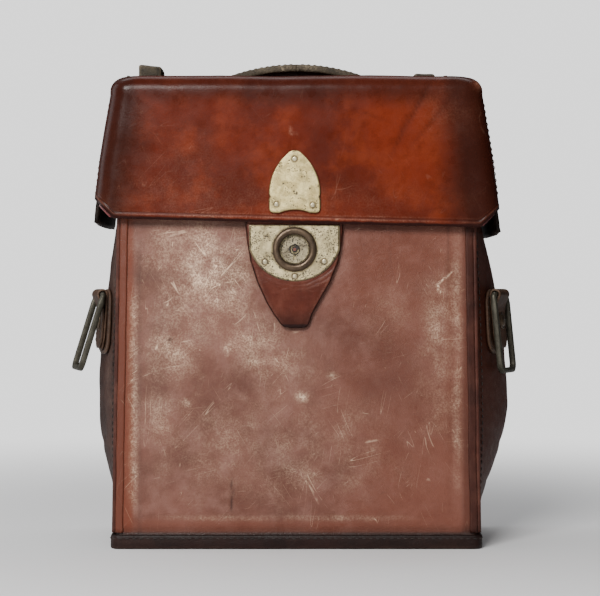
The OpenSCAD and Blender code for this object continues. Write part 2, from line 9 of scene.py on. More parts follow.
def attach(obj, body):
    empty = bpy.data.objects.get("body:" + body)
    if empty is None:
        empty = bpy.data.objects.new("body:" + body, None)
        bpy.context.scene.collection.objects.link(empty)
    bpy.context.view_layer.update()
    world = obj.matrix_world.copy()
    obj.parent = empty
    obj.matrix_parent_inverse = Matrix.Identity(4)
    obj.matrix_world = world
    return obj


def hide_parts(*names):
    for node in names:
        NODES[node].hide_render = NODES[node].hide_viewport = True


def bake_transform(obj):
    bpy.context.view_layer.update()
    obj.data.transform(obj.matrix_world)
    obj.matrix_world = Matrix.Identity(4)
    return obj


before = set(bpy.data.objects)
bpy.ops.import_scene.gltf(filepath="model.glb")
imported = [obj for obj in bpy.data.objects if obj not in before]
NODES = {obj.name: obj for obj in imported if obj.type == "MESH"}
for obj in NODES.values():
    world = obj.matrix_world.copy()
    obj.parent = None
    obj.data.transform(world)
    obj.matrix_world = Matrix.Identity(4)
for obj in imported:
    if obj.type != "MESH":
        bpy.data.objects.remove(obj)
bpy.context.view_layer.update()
MM = 0.001

# ---------------------------------------------------------------- sizes in mm, as in the CAD
FRONT_Y = -45.0
BACK_Y = 45.0
INNER_Y = 43.4
MOUTH_Z = 222.0
BULGE_Z = 77.0
BULGE_Y = 12.0
BULGE = {-1: 14.5, 1: 22.0}
LOCK_X = -1.0
LOCK_Z = 155.7
TOP_Z = 246.0
LID_FRONT = -51.6
SHOULDER_Z = 236.0
FOLD_R = 8.0
CORNER_R = 10.0
END_Y = -36.0
EDGE_Z = 169.3
EDGE_SLOPE = 0.024


def smooth(a, b, x):
    """0 below a, 1 above b, with a soft change between."""
    t = np.clip((x - a) / (b - a), 0, 1)
    return t * t * (3 - 2 * t)


def blob(x, z, cx, cz, rx, rz):
    """A soft round spot, 1 at its middle."""
    return np.exp(-(((x - cx) / rx) ** 2 + ((z - cz) / rz) ** 2))


def ridge(v, at, width):
    """A soft line, 1 where v is at."""
    return np.exp(-((v - at) / width) ** 2)


def band(v, a, b, c, d):
    """0 outside a to d, 1 between b and c, with soft steps."""
    return smooth(a, b, v) * (1 - smooth(c, d, v))


def spots(x, z, table):
    """The sum of soft round spots; each row of the table is a centre, two radii and a strength."""
    return sum(amount * blob(x, z, *spot) for *spot, amount in table)


def wob(p, size, seed=0.0, octaves=2):
    """Smooth noise of about -1 to 1 at points in mm; size is the width of its bumps."""
    flat = (p.reshape(-1, 3) / size + seed).tolist()
    vals = [noise.fractal(Vector(q), 1.0, 2.0, octaves) for q in flat]
    return np.array(vals).reshape(p.shape[:-1])


def half_w(z):
    return 95.5 - 3.5 * z / MOUTH_Z


def swell(z):
    low = np.sin(np.pi / 2 * np.clip((z - 8) / (BULGE_Z - 8), 0, 1)) ** 1.2
    high = np.cos(np.pi / 2 * np.clip((z - BULGE_Z) / (200 - BULGE_Z), 0, 1))
    return np.where(z < BULGE_Z, low, high)


def across(y):
    low = np.cos(np.pi / 2 * (BULGE_Y - y) / (BULGE_Y + INNER_Y))
    high = np.cos(np.pi / 2 * (y - BULGE_Y) / (INNER_Y - BULGE_Y))
    return np.maximum(0, np.where(y < BULGE_Y, low, high))


def gusset_x(y, z, side):
    return half_w(z) - 0.2 + BULGE[side] * swell(z) * across(y)


# ---------------------------------------------------------------- mesh helpers
def unit(v):
    return v / np.maximum(np.linalg.norm(v, axis=-1, keepdims=True), 1e-9)


def build(name, verts, faces, material, attrs=None):
    """A smooth-shaded object from points in mm. Its faces are turned to look outwards; attrs are float layers."""
    pts = np.asarray(verts, float) * MM
    mesh = bpy.data.meshes.new(name)
    mesh.from_pydata(pts.tolist(), [], faces)
    mesh.validate()
    mesh.calc_loop_triangles()
    corners = np.empty(3 * len(mesh.loop_triangles), np.int32)
    mesh.loop_triangles.foreach_get("vertices", corners)
    a, b, c = pts[corners.reshape(-1, 3)].transpose(1, 0, 2)
    if (a * np.cross(b, c)).sum() < 0:
        mesh.flip_normals()
    for key, vals in (attrs or {}).items():
        layer = mesh.attributes.new(key, "FLOAT", "POINT")
        layer.data.foreach_set("value", np.asarray(vals, np.float32))
    mesh.materials.append(material)
    mesh.polygons.foreach_set("use_smooth", [True] * len(mesh.polygons))
    mesh.update()
    obj = bpy.data.objects.new(name, mesh)
    bpy.context.scene.collection.objects.link(obj)
    return obj


def quads(rows, cols, loop=False, ends=False):
    """Faces between rings of cols points. loop joins the last ring to the first, ends closes the two end rings."""
    faces = []
    for i in range(rows if loop else rows - 1):
        a, b = i * cols, (i + 1) % rows * cols
        for j in range(cols):
            k = (j + 1) % cols
            faces.append([a + j, a + k, b + k, b + j])
    if ends:
        faces.append(list(range(cols))[::-1])
        faces.append([(rows - 1) * cols + j for j in range(cols)])
    return faces


def grid_normals(p):
    return unit(np.cross(np.gradient(p, axis=0), np.gradient(p, axis=1)))


def sheet_mesh(name, p, thick, material, attrs=None, mask=None, flip=False, round_edge=0.0):
    """A closed leather sheet. p is a grid of points on its outer face; the inner face lies thick behind it along
    the normal. mask, one flag per cell, leaves cells out. round_edge draws both faces together at the rim."""
    nu, nv = p.shape[:2]
    n = -grid_normals(p) if flip else grid_normals(p)
    inner = p - n * thick
    cells = np.ones((nu - 1, nv - 1), bool) if mask is None else mask
    # how many cells meet at a point tells whether it is used, and whether it is on the rim
    padded = np.zeros((nu + 1, nv + 1), int)
    padded[1:-1, 1:-1] = cells
    around = padded[:-1, :-1] + padded[1:, :-1] + padded[:-1, 1:] + padded[1:, 1:]
    used = around > 0
    rim = (used & (around < 4))[..., None]
    p = np.where(rim, p - n * round_edge, p)
    inner = np.where(rim, inner + n * round_edge, inner)
    count = int(used.sum())
    index = np.zeros((nu, nv), int)
    index[used] = np.arange(count)
    faces, edges = [], {}
    for i, j in zip(*np.nonzero(cells)):
        quad = [int(index[q]) for q in ((i, j), (i + 1, j), (i + 1, j + 1), (i, j + 1))]
        if flip:
            quad.reverse()
        faces += [quad, [q + count for q in reversed(quad)]]
        edges.update(dict.fromkeys(zip(quad, quad[1:] + quad[:1])))
    faces += [[b, a, a + count, b + count] for a, b in edges if (b, a) not in edges]
    layers = {key: np.tile(np.broadcast_to(vals, (nu, nv))[used], 2) for key, vals in (attrs or {}).items()}
    return build(name, np.concatenate([p[used], inner[used]]), faces, material, layers)


def tube(name, path, profile, normals, material, closed=False, attrs=None):
    """Sweeps a profile of (side, out) offsets along a path; normals give 'out', once or at each path point."""
    tangent = unit(np.roll(path, -1, 0) - np.roll(path, 1, 0) if closed else np.gradient(path, axis=0))
    side = unit(np.cross(tangent, np.broadcast_to(np.asarray(normals, float), path.shape)))
    out = np.cross(side, tangent)
    prof = np.broadcast_to(profile, (len(path),) + np.shape(profile)[-2:])
    pts = path[:, None] + side[:, None] * prof[:, :, :1] + out[:, None] * prof[:, :, 1:]
    faces = quads(len(path), prof.shape[1], loop=closed, ends=not closed)
    return build(name, pts.reshape(-1, 3), faces, material, attrs)


def turned(profile, centre, axis, steps=28, ring=False):
    """Points and faces of a profile of (radius, height) turned about an axis. A ring's profile closes on itself."""
    axis = unit(np.asarray(axis, float))
    ref = np.array([0, 0, 1.0]) if abs(axis[2]) < 0.9 else np.array([1.0, 0, 0])
    e1 = unit(np.cross(ref, axis))
    e2 = np.cross(axis, e1)
    prof = np.asarray(profile, float)
    ang = np.arange(steps) * 2 * np.pi / steps
    circle = np.cos(ang)[:, None] * e1 + np.sin(ang)[:, None] * e2
    pts = np.asarray(centre, float) + prof[:, None, :1] * circle + prof[:, None, 1:] * axis
    return pts.reshape(-1, 3), quads(len(prof), steps, loop=ring, ends=not ring)


def merge(name, pieces, material):
    """One object from several (verts, faces) pairs."""
    faces, at = [], 0
    for v, f in pieces:
        faces += [[q + at for q in face] for face in f]
        at += len(v)
    return build(name, np.concatenate([v for v, _ in pieces]), faces, material)


def rivet(centre, axis, r, h):
    """A domed rivet head standing on centre."""
    prof = [(r, 0), (r, h * 0.35), (r * 0.96, h * 0.6), (r * 0.86, h * 0.8)]
    prof += [(r * a, h * (1 - 0.2 * a * a)) for a in (0.7, 0.5, 0.3, 0.12)]
    return turned(prof + [(0.001, h)], centre, axis)


# a stitch's five rings: place along its length, width, and height
STITCH = ((-0.5, 0.25, -0.25), (-0.36, 0.8, 0.0), (0, 1.0, 0.12), (0.36, 0.8, 0.0), (0.5, 0.25, -0.25))


def stitch_parts(points, normals, pitch=3.2, length=2.3, r=0.36, lift=0.12):
    """Small thread bumps along a line; normals are the leather's outward direction, once or at each point."""
    pts = np.asarray(points, float)
    nor = np.broadcast_to(np.asarray(normals, float), pts.shape)
    s = np.concatenate([[0], np.cumsum(np.linalg.norm(np.diff(pts, axis=0), axis=1))])
    count = max(1, int(s[-1] / pitch))
    at = (np.arange(count) + 0.5) * s[-1] / count

    def sample(v, where):
        return np.stack([np.interp(where, s, v[:, k]) for k in range(3)], 1)

    step = 0.2 * pitch
    run = unit(sample(pts, at + step) - sample(pts, at - step))
    out = unit(sample(nor, at))
    side = np.cross(run, out)
    ang = np.arange(6) * np.pi / 3
    faces = quads(len(STITCH), 6, ends=True)
    parts = []
    for c, d, n, e in zip(sample(pts, at), run, out, side):
        circle = np.cos(ang)[:, None] * e + np.sin(ang)[:, None] * n
        rings = [c + d * f * length + n * (lift + up) + r * wide * circle for f, wide, up in STITCH]
        parts.append((np.concatenate(rings), faces))
    return parts


# ---------------------------------------------------------------- materials
class Graph:
    """A short way to write a node graph, in a new material or in the tree that is given."""

    def __init__(self, name="", tree=None, coord="Object"):
        if tree is None:
            self.mat = bpy.data.materials.new(name)
            self.mat.use_nodes = True
            tree = self.mat.node_tree
        self.tree = tree
        self.coord = self.node("TexCoord", coord)

    def put(self, socket, value):
        """Links the socket to an output, or sets its value."""
        if isinstance(value, bpy.types.NodeSocket):
            self.tree.links.new(value, socket)
        else:
            socket.default_value = (*value, 1) if socket.type == "RGBA" else value

    def node(self, kind, out, inputs=None, **settings):
        """A new node with its settings, and its inputs by name or number; gives one of its outputs."""
        n = self.tree.nodes.new("ShaderNode" + kind)
        for key, value in settings.items():
            setattr(n, key, value)
        for key, value in (inputs or {}).items():
            self.put(n.inputs[key], value)
        return n.outputs[out]

    def shade(self, inputs):
        """Sets inputs of the surface shader; gives the material."""
        for key, value in inputs.items():
            self.put(self.tree.nodes["Principled BSDF"].inputs[key], value)
        return self.mat

    def noise(self, scale, detail, rough, stretch=(1, 1, 1), shift=0.0):
        move = (shift, shift * 0.7, shift * 1.3)
        vec = self.node("Mapping", 0, {"Vector": self.coord, "Scale": stretch, "Location": move})
        return self.node("TexNoise", 0, {"Vector": vec, "Scale": scale, "Detail": detail, "Roughness": rough})

    def hairs(self, scale, length, turn, shift, width):
        """Hairlines that lean by turn in the XZ plane: where drawn-out noise crosses its middle value."""
        move = (shift * 0.01, 0, shift * 0.013)
        vec = self.node("Mapping", 0, {"Vector": self.coord, "Rotation": (0, turn, 0), "Scale": (1, 1, length),
                                       "Location": move}, vector_type="TEXTURE")
        field = self.node("TexNoise", 0, {"Vector": vec, "Scale": scale, "Detail": 1.0, "Distortion": 0.15})
        return self.ramp(self.math("ABSOLUTE", self.minus(field, 0.5)), 0.001, width, 1.0, 0.0)

    def cells(self, scale, feature):
        return self.node("TexVoronoi", "Distance", {"Vector": self.coord, "Scale": scale}, feature=feature)

    def ramp(self, value, low, high, out_low=0.0, out_high=1.0):
        return self.node("MapRange", 0, {"Value": value, "From Min": low, "From Max": high, "To Min": out_low,
                                         "To Max": out_high}, interpolation_type="SMOOTHSTEP")

    def math(self, op, a, b=0.0):
        return self.node("Math", 0, {0: a, 1: b}, operation=op, use_clamp=op == "ADD")

    def plus(self, a, b):
        return self.math("ADD", a, b)

    def minus(self, a, b):
        return self.math("SUBTRACT", a, b)

    def times(self, a, b):
        return self.math("MULTIPLY", a, b)

    def most(self, a, b):
        return self.math("MAXIMUM", a, b)

    def mix(self, factor, a, b):
        return self.node("Mix", 2, {0: factor, 6: a, 7: b}, data_type="RGBA")

    def attr(self, name):
        return self.node("Attribute", "Fac", attribute_name=name)

    def bump(self, height, strength, distance):
        return self.node("Bump", 0, {"Height": height, "Strength": strength, "Distance": distance})


def leather(name, dark, mid, light, worn, tint_and_shade=None, rough=0.5, grain=0.5, scuff=0.3, scratch=0.3,
            spec=0.4, mottle=28.0, seed=0.0, blot=0.25):
    """Leather: clouded colour, pores and fine creases. One layer rubs it pale and also holds painted highlights, one
    darkens it with soiling and painted shade, and one lays a tint that clears scuffs; on the lid and the right gusset
    that tint is painted shade."""
    g = Graph(name)
    broad = g.noise(mottle, 4, 0.6, shift=seed)
    cloud = g.noise(mottle * 2.9, 5, 0.62, shift=seed + 2)
    fine = g.noise(mottle * 9, 4, 0.65, shift=seed + 3)
    colour = g.mix(g.ramp(broad, 0.32, 0.68), dark, mid)
    colour = g.mix(g.times(g.ramp(cloud, 0.44, 0.70), 0.6), colour, light)
    colour = g.mix(g.times(g.ramp(fine, 0.50, 0.30), 0.35), colour, dark)
    # the tint layer: it clears scuffs and smooths; on the lid and the right gusset its colour is painted shade
    tinted = g.attr("tint_and_shade")
    if tint_and_shade:
        colour = g.mix(tinted, colour, tint_and_shade)
    # rubbed places: pale specks inside clouded patches
    specks = g.ramp(g.noise(1100, 5, 0.75, shift=seed + 7), 0.40, 0.62, 0.18, 1.0)
    ragged = g.ramp(g.noise(95, 9, 0.78, shift=seed + 9), 0.36, 0.64, 0.22, 1.0)
    # the pale layer: rubbing, and on some pieces painted highlights and sheen
    wear_and_highlight = g.times(g.attr("wear_and_highlight"), g.times(specks, ragged))
    patch = g.times(g.ramp(g.noise(48, 7, 0.75, shift=seed + 11), 0.54, 0.74), specks)
    patch = g.times(patch, g.minus(1.0, tinted))
    wear_and_highlight = g.plus(wear_and_highlight, g.times(patch, scuff))
    colour = g.mix(wear_and_highlight, colour, worn)
    # hairline scratches at several slants, broken into short strokes
    marks = 0.0
    for k, (turn, scale) in enumerate(((0.15, 150), (-0.5, 120), (1.3, 130), (0.75, 170))):
        line = g.hairs(scale, 9.0, turn, seed + 13 + 3 * k, 0.0055)
        gate = g.plus(g.noise(62, 3, 0.6, shift=seed + 23 + k), g.times(g.attr("wear_and_highlight"), 0.10))
        marks = g.most(marks, g.times(line, g.ramp(gate, 0.57, 0.65)))
    marks = g.times(marks, g.plus(g.times(g.attr("wear_and_highlight"), 0.9), scratch))
    colour = g.mix(marks, colour, worn)
    blots = g.ramp(g.noise(230, 6, 0.7, shift=seed + 37), 0.64, 0.71, 0.0, blot)
    colour = g.mix(blots, colour, dark)
    # the dark layer: soiling, and on several pieces painted shade
    colour = g.mix(g.attr("dirt_and_shade"), colour, tuple(0.22 * v for v in dark))
    roughness = g.plus(g.ramp(fine, 0.3, 0.7, rough - 0.06, rough + 0.06), g.times(wear_and_highlight, 0.2))
    height = g.plus(g.times(g.cells(1500, "SMOOTH_F1"), 0.35), g.times(g.noise(260, 6, 0.7, shift=seed + 31), 0.6))
    height = g.minus(height, g.times(marks, 0.3))
    return g.shade({"Base Color": colour, "Roughness": g.minus(roughness, g.times(tinted, 0.08)),
                    "Normal": g.bump(height, grain, 0.0005), "Specular IOR Level": spec})


def metal(name, base, second, tarnish, pit, rough=0.3, pits=0.5, tarnish_amount=0.4, seed=0.0, metallic=1.0,
          pit_gate=0.0):
    """Plated metal: clouds of two shades, tarnish, black pits of two sizes and fine rubbing marks."""
    g = Graph(name)
    colour = g.mix(g.ramp(g.noise(150, 6, 0.7, shift=seed), 0.38, 0.62), base, second)
    stain = g.ramp(g.noise(170, 7, 0.75, shift=seed + 3), 0.50, 0.68)
    colour = g.mix(g.times(stain, tarnish_amount), colour, tarnish)
    colour = g.mix(g.attr("edge"), colour, tarnish)
    speck = g.ramp(g.cells(1150, "F1"), 0.24 + pit_gate, 0.38 + pit_gate, 1.0, 0.0)
    gate = g.ramp(g.noise(190, 4, 0.65, shift=seed + 7), 0.52 - pit_gate, 0.58 - pit_gate)
    spots = g.ramp(g.cells(520, "F1"), 0.20, 0.34, 1.0, 0.0)
    rare = g.ramp(g.noise(170, 3, 0.6, shift=seed + 9), 0.57 - pit_gate, 0.61 - pit_gate)
    spots = g.times(g.most(g.times(speck, gate), g.times(spots, rare)), pits)
    colour = g.mix(spots, colour, pit)
    line = 0.0
    for k, turn in enumerate((0.3, -0.9, 1.4)):
        line = g.most(line, g.hairs(260, 12.0, turn, seed + 11 + k, 0.008))
    line = g.times(line, g.ramp(g.noise(120, 2, 0.5, shift=seed + 15), 0.50, 0.62))
    colour = g.mix(g.times(line, 0.35), colour, second)
    r = g.ramp(g.noise(340, 4, 0.6, shift=seed + 17), 0.35, 0.65, rough - 0.08, rough + 0.10)
    height = g.minus(g.times(g.noise(480, 4, 0.6, shift=seed + 19), 0.5), spots)
    height = g.minus(height, g.times(line, 0.15))
    return g.shade({"Base Color": colour, "Roughness": g.plus(r, g.times(g.most(spots, stain), 0.25)),
                    "Metallic": g.minus(metallic, g.times(spots, 0.6 * metallic)),
                    "Normal": g.bump(height, 0.35, 0.00022)})


def cloth_material(name, dark, light):
    """Short-napped woven cloth."""
    g = Graph(name)
    weave = g.most(g.noise(1400, 1, 0.4, stretch=(1, 1, 0.25)), g.noise(1400, 1, 0.4, stretch=(0.25, 1, 1), shift=4))
    colour = g.mix(g.ramp(weave, 0.45, 0.62), dark, light)
    colour = g.mix(g.times(g.ramp(g.noise(30, 4, 0.6, shift=9), 0.45, 0.7), 0.35), colour, (0.30, 0.13, 0.12))
    return g.shade({"Base Color": colour, "Roughness": 0.9, "Sheen Weight": 0.5,
                    "Normal": g.bump(weave, 0.6, 0.0004)})


def card_material(name):
    """Pressed fibre board."""
    g = Graph(name)
    fibre = g.noise(420, 5, 0.7, stretch=(0.4, 1, 1))
    colour = g.mix(g.ramp(fibre, 0.35, 0.65), (0.26, 0.18, 0.11), (0.42, 0.31, 0.20))
    return g.shade({"Base Color": colour, "Roughness": 0.85, "Normal": g.bump(fibre, 0.4, 0.0005)})


def thread_material(name, dark, light):
    """Waxed linen thread, twisted."""
    g = Graph(name)
    twist = g.noise(2600, 2, 0.5, stretch=(1, 1, 0.4))
    colour = g.mix(g.ramp(g.noise(60, 3, 0.6, shift=5), 0.35, 0.65), dark, light)
    return g.shade({"Base Color": colour, "Roughness": 0.7, "Normal": g.bump(twist, 0.5, 0.0002)})


BODY = leather("body_leather", (0.105, 0.036, 0.023), (0.165, 0.066, 0.047), (0.21, 0.10, 0.077), (0.92, 0.67, 0.46),
               tint_and_shade=(0.142, 0.035, 0.017), rough=0.44, grain=0.6, scuff=0.10, scratch=0.16, spec=0.27, seed=1.0,
               blot=0.6)
# its tint colour is painted shade, laid on the lid's sides and along its top
LID = leather("lid_leather", (0.066, 0.0072, 0.0018), (0.135, 0.0155, 0.0034), (0.175, 0.026, 0.007),
              (0.34, 0.17, 0.11), tint_and_shade=(0.022, 0.0048, 0.0026), rough=0.34, grain=0.16, scuff=0.015, scratch=0.07,
              spec=0.12, seed=5.0, mottle=17)
# the lid ends' leather is nearly black: painted shade
SHADED_END = leather("end_leather", (0.012, 0.0065, 0.0045), (0.028, 0.0145, 0.0095), (0.050, 0.029, 0.019),
              (0.15, 0.10, 0.07), rough=0.55, grain=0.5, scuff=0.25, scratch=0.15, spec=0.15, seed=9.0)
# its tint colour is painted shade, laid on the right gusset
GUSSET = leather("gusset_leather", (0.014, 0.005, 0.0035), (0.032, 0.0115, 0.0075), (0.055, 0.026, 0.018),
                 (0.16, 0.105, 0.085), tint_and_shade=(0.050, 0.0115, 0.0055), rough=0.60, grain=0.6, scuff=0.15, scratch=0.12,
                 spec=0.12, seed=13.0)
EDGE = leather("edge_leather", (0.022, 0.006, 0.004), (0.058, 0.016, 0.010), (0.10, 0.034, 0.022), (0.32, 0.19, 0.14),
               rough=0.52, grain=0.6, scuff=0.12, scratch=0.12, spec=0.2, seed=17.0)
LUG = leather("lug_leather", (0.022, 0.010, 0.0055), (0.050, 0.023, 0.012), (0.080, 0.043, 0.026), (0.20, 0.13, 0.09),
              rough=0.52, grain=0.6, scuff=0.25, scratch=0.2, spec=0.2, seed=21.0)
STRAP = leather("strap_leather", (0.015, 0.011, 0.007), (0.036, 0.028, 0.018), (0.070, 0.056, 0.036),
                (0.24, 0.19, 0.13), rough=0.58, grain=0.7, scuff=0.2, scratch=0.2, spec=0.15, seed=25.0)
TONGUE = leather("tongue_leather", (0.050, 0.0095, 0.005), (0.085, 0.018, 0.0095), (0.115, 0.032, 0.019),
                 (0.36, 0.20, 0.15), rough=0.38, grain=0.4, scuff=0.05, scratch=0.10, spec=0.16, seed=29.0, mottle=45)
NICKEL = metal("worn_nickel", (0.80, 0.66, 0.31), (0.50, 0.39, 0.17), (0.12, 0.085, 0.042), (0.03, 0.02, 0.012),
               rough=0.38, pits=1.0, tarnish_amount=0.65, seed=2.0, metallic=0.75)
PITTED = metal("pitted_nickel", (0.68, 0.57, 0.32), (0.40, 0.33, 0.18), (0.10, 0.07, 0.038), (0.02, 0.014, 0.01),
               rough=0.40, pits=0.9, tarnish_amount=0.75, seed=3.3, metallic=0.75, pit_gate=0.06)
DISC = metal("lock_nickel", (0.42, 0.36, 0.23), (0.21, 0.175, 0.11), (0.09, 0.06, 0.04), (0.02, 0.015, 0.01),
             rough=0.42, pits=0.9, tarnish_amount=0.8, seed=5.1, metallic=0.75, pit_gate=0.08)
HEAD = metal("rivet_nickel", (0.66, 0.59, 0.40), (0.46, 0.40, 0.26), (0.10, 0.07, 0.04), (0.06, 0.04, 0.025),
             rough=0.34, pits=0.4, tarnish_amount=0.4, seed=7.7, metallic=0.8)
BRONZE = metal("dark_brass", (0.10, 0.068, 0.043), (0.060, 0.040, 0.026), (0.03, 0.019, 0.012), (0.012, 0.008, 0.006),
               rough=0.36, pits=0.5, seed=6.0, metallic=0.8)
STEEL = metal("dark_steel", (0.060, 0.055, 0.040), (0.036, 0.032, 0.022), (0.022, 0.016, 0.010),
              (0.008, 0.006, 0.004), rough=0.46, pits=0.5, seed=8.0, metallic=0.6)
RUST = metal("rusty_pin", (0.22, 0.085, 0.060), (0.15, 0.05, 0.035), (0.08, 0.03, 0.02), (0.03, 0.012, 0.01),
             rough=0.6, pits=0.6, seed=10.0, metallic=0.3)
# near-black for the keyhole's lining and the lock's hidden inner parts: painted shade
SHADE_BLACK = metal("keyhole_shade_black", (0.020, 0.015, 0.011), (0.012, 0.009, 0.007), (0.008, 0.006, 0.004),
             (0.004, 0.003, 0.002), rough=0.6, metallic=0.2)
CLOTH = cloth_material("lining_cloth", (0.06, 0.007, 0.010), (0.15, 0.022, 0.026))
CARD = card_material("stiffener")
THREAD = thread_material("waxed_thread", (0.030, 0.018, 0.012), (0.10, 0.065, 0.042))
THREAD_PALE = thread_material("worn_thread", (0.07, 0.028, 0.017), (0.19, 0.095, 0.062))
THREAD_DARK = thread_material("dark_thread", (0.008, 0.005, 0.004), (0.025, 0.015, 0.011))


def place(obj, body, slot, *replaced):
    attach(obj, body)
    if replaced:
        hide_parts(*replaced)
    return obj


# ---------------------------------------------------------------- front and back leather
# pale rubbed patches; on the left half they are also a painted highlight of glare
RUBS_AND_GLARE = ((-50, 150, 22, 17, 0.85), (-40, 136, 15, 11, 0.60), (-62, 112, 13, 17, 0.55), (-70, 84, 10, 26, 0.35),
          (-24, 112, 16, 9, 0.50), (-10, 96, 18, 10, 0.40), (52, 122, 14, 16, 0.16), (74, 120, 7, 24, 0.38),
          (72, 84, 9, 26, 0.16), (-30, 60, 30, 16, 0.22), (24, 62, 26, 16, 0.14), (-6, 40, 60, 12, 0.16))
FLAKED = ((-46, 139, 3.5, 2.0, 0.9), (-32, 133, 2.6, 1.8, 0.9), (-26, 110, 3.4, 2.0, 0.9), (-58, 76, 3.2, 1.6, 0.9),
          (-22, 97, 3.0, 2.4, 0.9), (3, 79, 3.2, 2.0, 0.9), (-36, 104, 2.2, 3.0, 0.9), (18, 90, 2.4, 1.4, 0.9))
SOILED = ((-74, 142, 13, 4, 0.25), (-70, 116, 9, 5, 0.25), (-73, 86, 9, 14, 0.28), (-5, 118, 24, 4, 0.16),
          (55, 92, 14, 20, 0.15), (-65.8, 108.7, 1.2, 1.2, 0.8), (-10, 60, 30, 8, 0.10), (45, 88, 40, 44, 0.16))


def face_sheet(name, side, slot, replaced):
    """The front (side -1) or back (side 1) leather: its stiffening board shows through as a soft step."""
    us = np.concatenate([np.linspace(-1, -0.9, 14)[:-1], np.linspace(-0.9, 0.9, 150), np.linspace(0.9, 1, 14)[1:]])
    zs = np.linspace(1.8, MOUTH_Z if side < 0 else 239.8, 178)
    u, z = np.meshgrid(us, zs, indexing="ij")
    w = half_w(z)
    x = u * (w - 0.3)
    edge = w - np.abs(x)
    p = np.stack([x, np.zeros_like(x), z], -1)
    board = band(x, -84.5, -82.2, 78.6, 80.8) * smooth(16, 18.6, z)
    y = 0.25 * board + 0.35 * wob(p, 55, 3.1 * side) * board + 0.12 * wob(p, 17, 8.0)
    y -= 2.3 * (1 - smooth(0, 4.6, edge)) ** 2
    y -= 0.55 * ridge(z, 9.2, 1.5)
    wear_and_highlight = dirt_and_shade = np.zeros_like(x)
    tint_and_shade = np.maximum(1 - smooth(-86.2, -83.8, x + 0.4 * wob(p, 12, 5.0)), 0.8 * smooth(86.0, 87.5, x))
    tint_and_shade = np.maximum(tint_and_shade, 0.45 * (1 - smooth(13.0, 17.5, z + 0.8 * wob(p, 14, 2.0))))
    if side < 0:
        crack = ridge(x, -33.5 + 0.4 * np.sin(z / 2.1), 0.55) * band(z, 18, 22, 33, 38)
        y -= 0.3 * crack
        wear_and_highlight = spots(x, z, RUBS_AND_GLARE) + spots(x, z, FLAKED)
        # pale streaks along the board's left edge and near the right edge: painted highlights
        wear_and_highlight = wear_and_highlight + 0.60 * ridge(x - 0.6 * wob(p, 22, 6.0), -84.6, 2.1) * band(z, 14, 40, 116, 140)
        wear_and_highlight = wear_and_highlight + 0.38 * ridge(x, 83.5, 2.4) * smooth(20, 60, z) * (1 - 0.5 * smooth(120, 150, z))
        wear_and_highlight = wear_and_highlight + 0.26 * ridge(z - 0.5 * wob(p, 20, 9.0), 16.2, 1.3) * band(x, -80, -60, 30, 70)
        wear_and_highlight = wear_and_highlight * (0.72 + 0.7 * wob(p, 11, 2.0, 3))
        tinted = smooth(0, 50, x + 12 * wob(p, 40, 5.0)) * (1 - np.clip(1.5 * wear_and_highlight, 0, 1))
        tint_and_shade = np.maximum(tint_and_shade, 0.50 * tinted)
        squiggle = 75.5 + 4.0 * smooth(137, 144, z) - 2.0 * np.sin((z - 132) / 3.2)
        wear_and_highlight = wear_and_highlight + 0.95 * ridge(x, squiggle, 0.6) * band(z, 132.5, 133.5, 143.5, 144.5)
        dirt_and_shade = 0.75 * crack + spots(x, z, SOILED) + 0.18 * np.clip(wob(p, 26, 12.0, 3), 0, 1)
        # painted shade along the right edge, at the bottom and round the rolled outline; thin darker lines along the
        # board's two sides
        dirt_and_shade = dirt_and_shade + 0.45 * smooth(84.5, 88.5, x) + 0.6 * (1 - smooth(7.8, 9.6, z)) + 0.35 * (1 - smooth(8, 14, z))
        dirt_and_shade = dirt_and_shade + 0.30 * (1 - smooth(1.5, 6, edge)) + 0.22 * ridge(x, -81.6, 1.1) * (1 - smooth(150, 166, z))
        dirt_and_shade = dirt_and_shade + 0.35 * ridge(x, 78.6, 0.55) * smooth(122, 134, z)
        # painted shadow under the lid's edge, and one faint streak
        dirt_and_shade = dirt_and_shade + 0.30 * ridge(z, 168.5, 2.2)
        dirt_and_shade = dirt_and_shade + 0.12 * ridge(x, 50 + 1.5 * np.sin(z / 9), 0.8) * smooth(136, 142, z)
    p[..., 1] = side * (BACK_Y + y)
    attrs = {"wear_and_highlight": np.clip(wear_and_highlight, 0, 1), "dirt_and_shade": np.clip(dirt_and_shade, 0, 1), "tint_and_shade": np.clip(tint_and_shade, 0, 1)}
    return place(sheet_mesh(name, p, 1.4, BODY, attrs, flip=side > 0), "case", slot, replaced)


face_sheet("front_leather", -1, "body_leather", "front_panel")
face_sheet("back_leather", 1, "body_leather", "back_panel")


